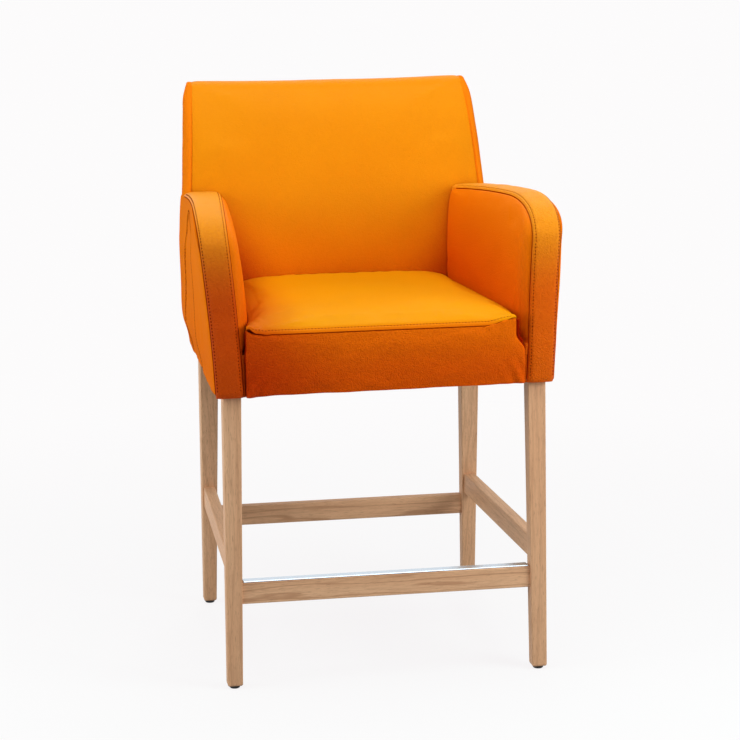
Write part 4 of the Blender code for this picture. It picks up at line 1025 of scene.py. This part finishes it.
def back_side(path, side, hand):
    """The boxing panel that closes one side of the back, swollen between its front and rear seams."""
    face, rear = [], []
    for front in (p for p in path if p[1] > ARM_JOIN + SEAM_GAP):
        level = min(front[1], BOXING_TOP) if front[0] < TOP_FROM else BOXING_TOP
        back = Vector((rear_skin_y(level) - SEAM_GAP, level))
        bulge = SIDE_SWELL * clamp((back - front).length / BULGE_RUN) ** BULGE_POWER
        bulge *= rolled(BACK_PEAK - level, PEAK_RADIUS)
        half = back_half(front[1])
        line, inside = [], []
        for u in BOXING_SHARES:
            rear_share = risen(u, BULGE_SHARE, 1 - BULGE_SHARE)
            out = SEAM_GAP + lerp(bulge * rolled(u, BULGE_SHARE), edge_swell(level), rear_share)
            out += BOXING_DENTS * swell(u) * wave(side, front[1], u * BOXING_DENT_RUN, BOXING_DENT_SIZE, 2.0)
            line.append((side * (half + out), *front.lerp(back, u)))
            within = lerp(BACKING_SHARE, 1 - BACKING_SHARE, u)
            inside.append((side * (half - BOXING_BACKING), *front.lerp(back, within)))
        face.append(line)
        rear.append(inside)
    close_panel("back_side_leather_" + hand, "outer", np.array(face), np.array(rear), "back_boxing",
                fill=0.9)


REAR_JOIN_RISE, REAR_TOP_RISE, REAR_CORNER = 0.016, 0.0045, 0.006
REAR_DEPTH, REAR_CROWN, REAR_INSET = 0.012, 0.003, 0.0002
REAR_TUCK, RAIL_HUMP = (0.008, 0.003), (0.03, 0.004)
REAR_DENTS = (0.12, 0.0012, 5.1, EVEN)


def rear_half(z):
    level = min(z, ARM_JOIN)
    join, wide = outer_x(rear_skin_y(level), level), back_half(z) + edge_swell(z)
    return lerp(join, wide, risen(z, ARM_JOIN, REAR_JOIN_RISE))


def back_rear():
    top = BACK_PAD_TOP + REAR_TOP_RISE
    width, height = 2 * rear_half(ARM_JOIN), top - UNDERSIDE
    us, vs = spread(width, 0.008, 0.013), spread(height, 0.006, 0.013)

    def spot(u, v, inset):
        z = lerp(UNDERSIDE, top, v)
        into = clamp(z - (top - REAR_CORNER), 0, REAR_CORNER)
        half = rear_half(z) - REAR_CORNER + math.sqrt(REAR_CORNER ** 2 - into ** 2) - inset
        return lerp(-half, half, u), z - top_sag(u, z)

    def face(u, v):
        x, z = spot(u, v, 0)
        edge = min(u * width, (1 - u) * width, (1 - v) * height)
        lift = REAR_DEPTH + REAR_CROWN * swell(u) * swell(v) - tucked(edge, *REAR_TUCK)
        return x, rear_skin_y(z) + hump(z - RAIL_TOP, *RAIL_HUMP) + lift, z

    def rear(u, v):
        x, z = spot(u, v, REAR_INSET)
        return x, rear_skin_y(z), z
    points = worn(surface(us, vs, face), us, vs, -1, REAR_DENTS, open_low=True)
    close_panel("back_rear_leather", "outer", points, surface(us, vs, rear), "outside_back", fill=0.6)
    for i, side in ((2, -1), (-3, 1)):
        line = points[3:-2, i]
        stitch_along(line, [Vector((side * 0.3, 0.95, 0)).normalized()] * len(line))


BACK_PATH = back_path()
back_front(BACK_PATH)
for side, hand in SIDES:
    back_side(BACK_PATH, side, hand)
back_rear()


# Seat

FRONT_HALF = seat_half(SEAT_FRONT_Y)
LEFT_CURL, LEFT_CURL_FROM, LEFT_CURL_RUN = 0.01, 0.026, 0.028
RIGHT_CURL, RIGHT_CURL_RUN, CURL_POWER = 0.013, 0.06, 0.8
FRONT_PULL = (0.05, -0.0075)
APRON_TURN, APRON_PULL = (0.59, 0.024), (0.59, 0.03)


def seam_rise(x):
    """The front seam of the seat curls up at its two ends."""
    left = clamp((-x - (FRONT_HALF - LEFT_CURL_FROM)) / LEFT_CURL_RUN)
    right = risen(x, FRONT_HALF - RIGHT_CURL_RUN, RIGHT_CURL_RUN)
    return LEFT_CURL * left ** 2 + RIGHT_CURL * right ** CURL_POWER


def seat_shift(y):
    """The cover is pulled a little to one side at its front corners."""
    return hump(y - SEAT_FRONT_Y, *FRONT_PULL)


def apron_half(z):
    wide = inner_x(ARM_SEAM_Y, UNDERSIDE) - HEM_WIDTH - GAP
    return lerp(wide, FRONT_HALF, risen(z, *APRON_TURN))


APRON_HANG, APRON_TILT, CORNER_HANG = 0.0014, 0.001, (0.03, 0.0028)
APRON_CROWN, OPEN_SHARE = 0.004, 0.12
APRON_TUCKS = ((0.005, 0.002), (0.005, 0.0022), (0.005, 0.0016))
LOW_SHARE, LOW_RUN, LOW_SLANT, LOW_RIPPLE = 0.55, 0.055, 0.55, (0.0042, 0.0028)
HIGH_SHARE, HIGH_RUN, HIGH_SLANT, HIGH_RIPPLE = 0.72, 0.05, 0.01, (0.004, 0.0012)
APRON_BACKING, BACKING_WIDTH = 0.0162, 0.998
APRON_PUFF = (0.6, 0.002, 0.001)
APRON_DENTS = ((0.05, 0.0013, 8.8, (1, 1, 1.6)), (0.016, 0.0004, 3.8, (1, 1, 1.3)))
APRON_GAP_FROM = 0.607


def seat_apron():
    """The seat's front panel, creased where its cover is gathered at the corners."""
    width, height = 0.49, SEAT_SEAM - UNDERSIDE
    us, vs = spread(width, 0.004, 0.03), spread(height, 0.003, 0.012)

    def spot(u, v):
        half = apron_half(lerp(UNDERSIDE, SEAT_SEAM, v))
        x = lerp(-half, half, u)
        low = UNDERSIDE - APRON_HANG + APRON_TILT * x / half - hump(x + half, *CORNER_HANG)
        z = lerp(low, SEAT_SEAM - PANEL_GAP + seam_rise(x), v)
        return x + seat_shift(SEAT_FRONT_Y) * risen(z, *APRON_PULL), z

    def face(u, v):
        x, z = spot(u, v)
        side, up = min(u, 1 - u) * width, v * height
        depth = APRON_CROWN * swell(u, 6.0) * swell(lerp(OPEN_SHARE, 1, v), 3.0)
        depth -= sum(tucked(gap, *tuck) for gap, tuck in zip((side, height - up, up), APRON_TUCKS))
        low = clamp(1 - v / LOW_SHARE) * clamp(1 - side / LOW_RUN)
        high = clamp((v - HIGH_SHARE) / (1 - HIGH_SHARE)) * hump(side, HIGH_RUN)
        depth += low * ripple(side - up * LOW_SLANT, *LOW_RIPPLE)
        depth += high * ripple(side + v * HIGH_SLANT, *HIGH_RIPPLE)
        return x, SEAT_FRONT_Y - depth, z

    def rear(u, v):
        x, z = spot(u, v)
        return x * BACKING_WIDTH, SEAT_FRONT_Y + APRON_BACKING, z
    points = puffed(surface(us, vs, face), 1, *APRON_PUFF, step=2)
    points = worn(points, us, vs, 1, *APRON_DENTS, open_low=True)
    middle = len(vs) // 2
    # Painted shadow: dark tubes along the apron's side edges and in the gap beside its upper right corner,
    # where the pads meet it.
    for i in (0, -1):
        paint_seam_shadow(points[middle:-2, i], 0.0022, (0, 0.004, 0))
        paint_seam_shadow(points[1:middle + 1, i], 0.001, (0, 0.0045, 0))
    paint_seam_shadow([p for p in points[:-3, -1] if p[2] > APRON_GAP_FROM], 0.0032, (0.0046, 0.009, 0))
    close_panel("seat_apron_leather", "apron", points, surface(us, vs, rear), "seat_apron", fill=0.8)


SEAT_CROWN, SEAT_FRONT_RUN = 0.032, 0.2
EDGE_SHARE, REAR_SHARE = 0.5, 0.92
SEAT_SIDE_TUCK, SEAT_CORNER_RUN = (0.009, 0.004), 0.02
LIP, LIP_RADIUS, STITCH_AT, SEAT_DIP = 0.0014, 0.0045, 0.0036, (0.0012, 0.0008)
CURL_RUN = 0.03
GATHER_SIDE, GATHER_NEAR, GATHER_SLANT = 0.035, 0.04, 0.7
LEFT_RIPPLE, RIGHT_RIPPLE = (0.0034, 0.0014), (0.0034, 0.0004)
SEAT_PUFF = (1.0, 0.003, 0.0025)
SEAT_DENTS = (0.1, 0.0013, 6.3, EVEN)
SEAT_SKIRT = ((0.12, 0.0006), (0.35, 0.003), (0.7, 0.0045), (1.0, 0.004))
SKIRT_LEAN = 0.017
SEW_FROM = 0.003


def seat_top_z(u, v, length):
    front = math.sqrt(1 - (1 - min(length * v / SEAT_FRONT_RUN, 1)) ** 3)
    across = lerp(EDGE_SHARE, 1, swell(u))
    return SEAT_SEAM + SEAT_CROWN * front * across * lerp(1, REAR_SHARE, v)


def seat_cushion():
    """The crowned seat: a blown up top, and sides that go down between the arms to the board."""
    length = arm_end_y(SEAT_SEAM) - SEAT_FRONT_Y
    width = 2 * FRONT_HALF
    us, vs = spread(width, 0.005, 0.026), spread(length, 0.005, 0.018, 0.0012)

    def face(u, v):
        z = seat_top_z(u, v, length)
        y = lerp(SEAT_FRONT_Y, arm_end_y(z), v)
        half = seat_half(y)
        x = lerp(-half, half, u) + seat_shift(y)
        side, near = min(u, 1 - u) * width, v * length
        z -= tucked(side, *SEAT_SIDE_TUCK) * clamp(near / SEAT_CORNER_RUN)
        z += LIP * rolled(near, LIP_RADIUS) - hump(near - STITCH_AT, *SEAT_DIP)
        z += seam_rise(x) * math.exp(-near / CURL_RUN)
        gather = ripple(side + near * GATHER_SLANT, *(LEFT_RIPPLE if x < 0 else RIGHT_RIPPLE))
        return x, y, z + gather * hump(side, GATHER_SIDE) * hump(near, GATHER_NEAR)

    points = puffed(surface(us, vs, face), 1, *SEAT_PUFF)
    points = worn(points, us, vs, 1, SEAT_DENTS)
    bm = bmesh.new()
    rows, columns = len(vs) - 1, len(us) - 1
    front = add_grid(bm, points)
    edge = [(0, i) for i in range(columns)] + [(j, columns) for j in range(rows)]
    edge += [(rows, i) for i in range(columns, 0, -1)] + [(j, 0) for j in range(rows, 0, -1)]
    rings = [[front[j][i] for j, i in edge]]
    for depth, draw in SEAT_SKIRT:
        ring = []
        for j, i in edge:
            x, y, z = points[j][i]
            low = lerp(z, PAD_BOTTOM + GAP, depth)
            if j == 0:
                y += SEAM_GAP + SKIRT_LEAN * depth
                low = lerp(z, SEAT_SEAM + SEAM_GAP, depth)
            if j == rows:
                y = arm_end_y(low) - SEAM_GAP
            ring.append(bm.verts.new((x - math.copysign(draw, x) if i in (0, columns) else x, y, low)))
        rings.append(ring)
    join_rings(bm, rings)
    bmesh.ops.triangulate(bm, faces=[bm.faces.new(rings[-1])])
    add_piece("seat_leather", bm, HIDES["seat"], "seat_cushion", fill=0.8)
    row = next(j for j, v in enumerate(vs) if v * length > SEW_FROM)
    stitch_along(points[row, 3:-3], normals_of(points, 1)[row, 3:-3])
    paint_seam_shadow(points[0, 1:-1], 0.0007, (0, 0.0006, 0))
    for i in (0, -1):
        paint_seam_shadow(points[14:-1:2, i], 0.0014)
    paint_seam_shadow(points[-1, 1:-1:2])


seat_apron()
seat_cushion()
sew()
add_seam_shadows()


# Floor, light and camera


WHITE = (1.0, 0.99, 0.993, 1)
WORLD_LIGHT, WORLD_SEEN = 0.24, 0.975
FLOOR_BOUNCE, FLOOR_SEEN = (0.42, 0.42, 0.42, 1), (0.66, 0.86, 0.8, 1)
FLOOR_GLOW, GLOW_STRENGTH, GLOW_SHARE = (1.0, 0.97, 0.981, 1), 0.998, 0.88
FADE_FROM, FADE_TO = 0.55, 2.2
FLOOR_HALF = 12
LAMP_AIM = Vector((0, 0, 0.65))
LAMPS = (("top_light", (0.0, -0.45, 3.0), 2.4, 50.0), ("right_light", (1.35, -1.2, 1.15), 0.9, 19.0),
         ("left_light", (-2.2, -0.45, 1.2), 1.3, 25.0), ("rear_light", (0.5, 2.6, 3.0), 1.4, 24.0))
CAMERA_PLACE = Vector((-0.7082, -4.2568 + SHIFT, 1.3307))
CAMERA_ANGLES = (9.679, 10.686, -0.737)
LENS = {"sensor_width": 36.0, "lens": 114.35, "clip_end": 60.0}


def seen_rays(tree):
    """1 for what the camera, gloss and clear things see, and 0 for the light that falls on the object."""
    path = add(tree, "LightPath", {}).outputs
    either = math_node(tree, "MAXIMUM", path["Is Camera Ray"], path["Is Glossy Ray"])
    return math_node(tree, "MAXIMUM", either, path["Is Transmission Ray"])


def glow_over(tree, under, share, colour, strength):
    """Covers a share of one shader by an even glow."""
    glow = add(tree, "Emission", {"Color": colour, "Strength": strength}).outputs[0]
    return add(tree, "MixShader", {0: share, 1: under, 2: glow}).outputs[0]


def floor_material():
    """Soft white: a little of it is lit, and keeps the shadow, and the rest fades into the background."""
    made, tree, lit, coords = nodes_of("studio_floor")
    seen = seen_rays(tree)
    base = mix_colour(tree, seen, FLOOR_BOUNCE, FLOOR_SEEN)
    feed(tree, lit, {"Base Color": base, "Roughness": 0.9, "Specular IOR Level": 0.0})
    reach = add(tree, "VectorMath", {0: coords}, operation="LENGTH").outputs["Value"]
    far = math_node(tree, "MULTIPLY", seen, smooth_range(tree, reach, FADE_FROM, FADE_TO))
    near = math_node(tree, "MULTIPLY", seen, GLOW_SHARE)
    cover = glow_over(tree, lit.outputs[0], near, FLOOR_GLOW, GLOW_STRENGTH)
    feed(tree, tree.nodes["Material Output"], {"Surface": glow_over(tree, cover, far, WHITE, WORLD_SEEN)})
    return made


def studio():
    scene = bpy.context.scene
    scene.view_settings.view_transform = "Standard"
    world = bpy.data.worlds.new("studio")
    scene.world = world
    world.use_nodes = True
    tree = world.node_tree
    more = math_node(tree, "MULTIPLY", seen_rays(tree), WORLD_SEEN - WORLD_LIGHT)
    strength = math_node(tree, "ADD", WORLD_LIGHT, more)
    feed(tree, tree.nodes["Background"], {"Color": WHITE, "Strength": strength})

    mesh = bpy.data.meshes.new("studio_floor")
    corners = [(x * FLOOR_HALF, y * FLOOR_HALF, 0) for x, y in ((-1, -1), (1, -1), (1, 1), (-1, 1))]
    mesh.from_pydata(corners, [], [(0, 1, 2, 3)])
    mesh.materials.append(floor_material())
    floor = put("studio_floor", mesh)

    for name, place, size, power in LAMPS:
        lamp = bpy.data.lights.new(name, "AREA")
        assign(lamp, shape="SQUARE", size=size, energy=power)
        holder = put(name, lamp)
        holder.location = place
        holder.rotation_euler = (LAMP_AIM - Vector(place)).to_track_quat("-Z", "Y").to_euler()
        holder.visible_glossy = name != "rear_light"


def camera():
    """The camera as it was solved from the photograph."""
    yaw, pitch, roll = map(math.radians, CAMERA_ANGLES)
    forward = Vector((math.sin(yaw) * math.cos(pitch), math.cos(yaw) * math.cos(pitch), -math.sin(pitch)))
    level = Vector((math.cos(yaw), -math.sin(yaw), 0))
    up = level.cross(forward)
    right = level * math.cos(roll) + up * math.sin(roll)
    top = up * math.cos(roll) - level * math.sin(roll)
    lens = bpy.data.cameras.new("camera")
    assign(lens, **LENS)
    made = put("camera", lens)
    axes = Matrix((right, top, -forward)).transposed().to_4x4()
    made.matrix_world = Matrix.Translation(CAMERA_PLACE) @ axes
    bpy.context.scene.camera = made


studio()
camera()
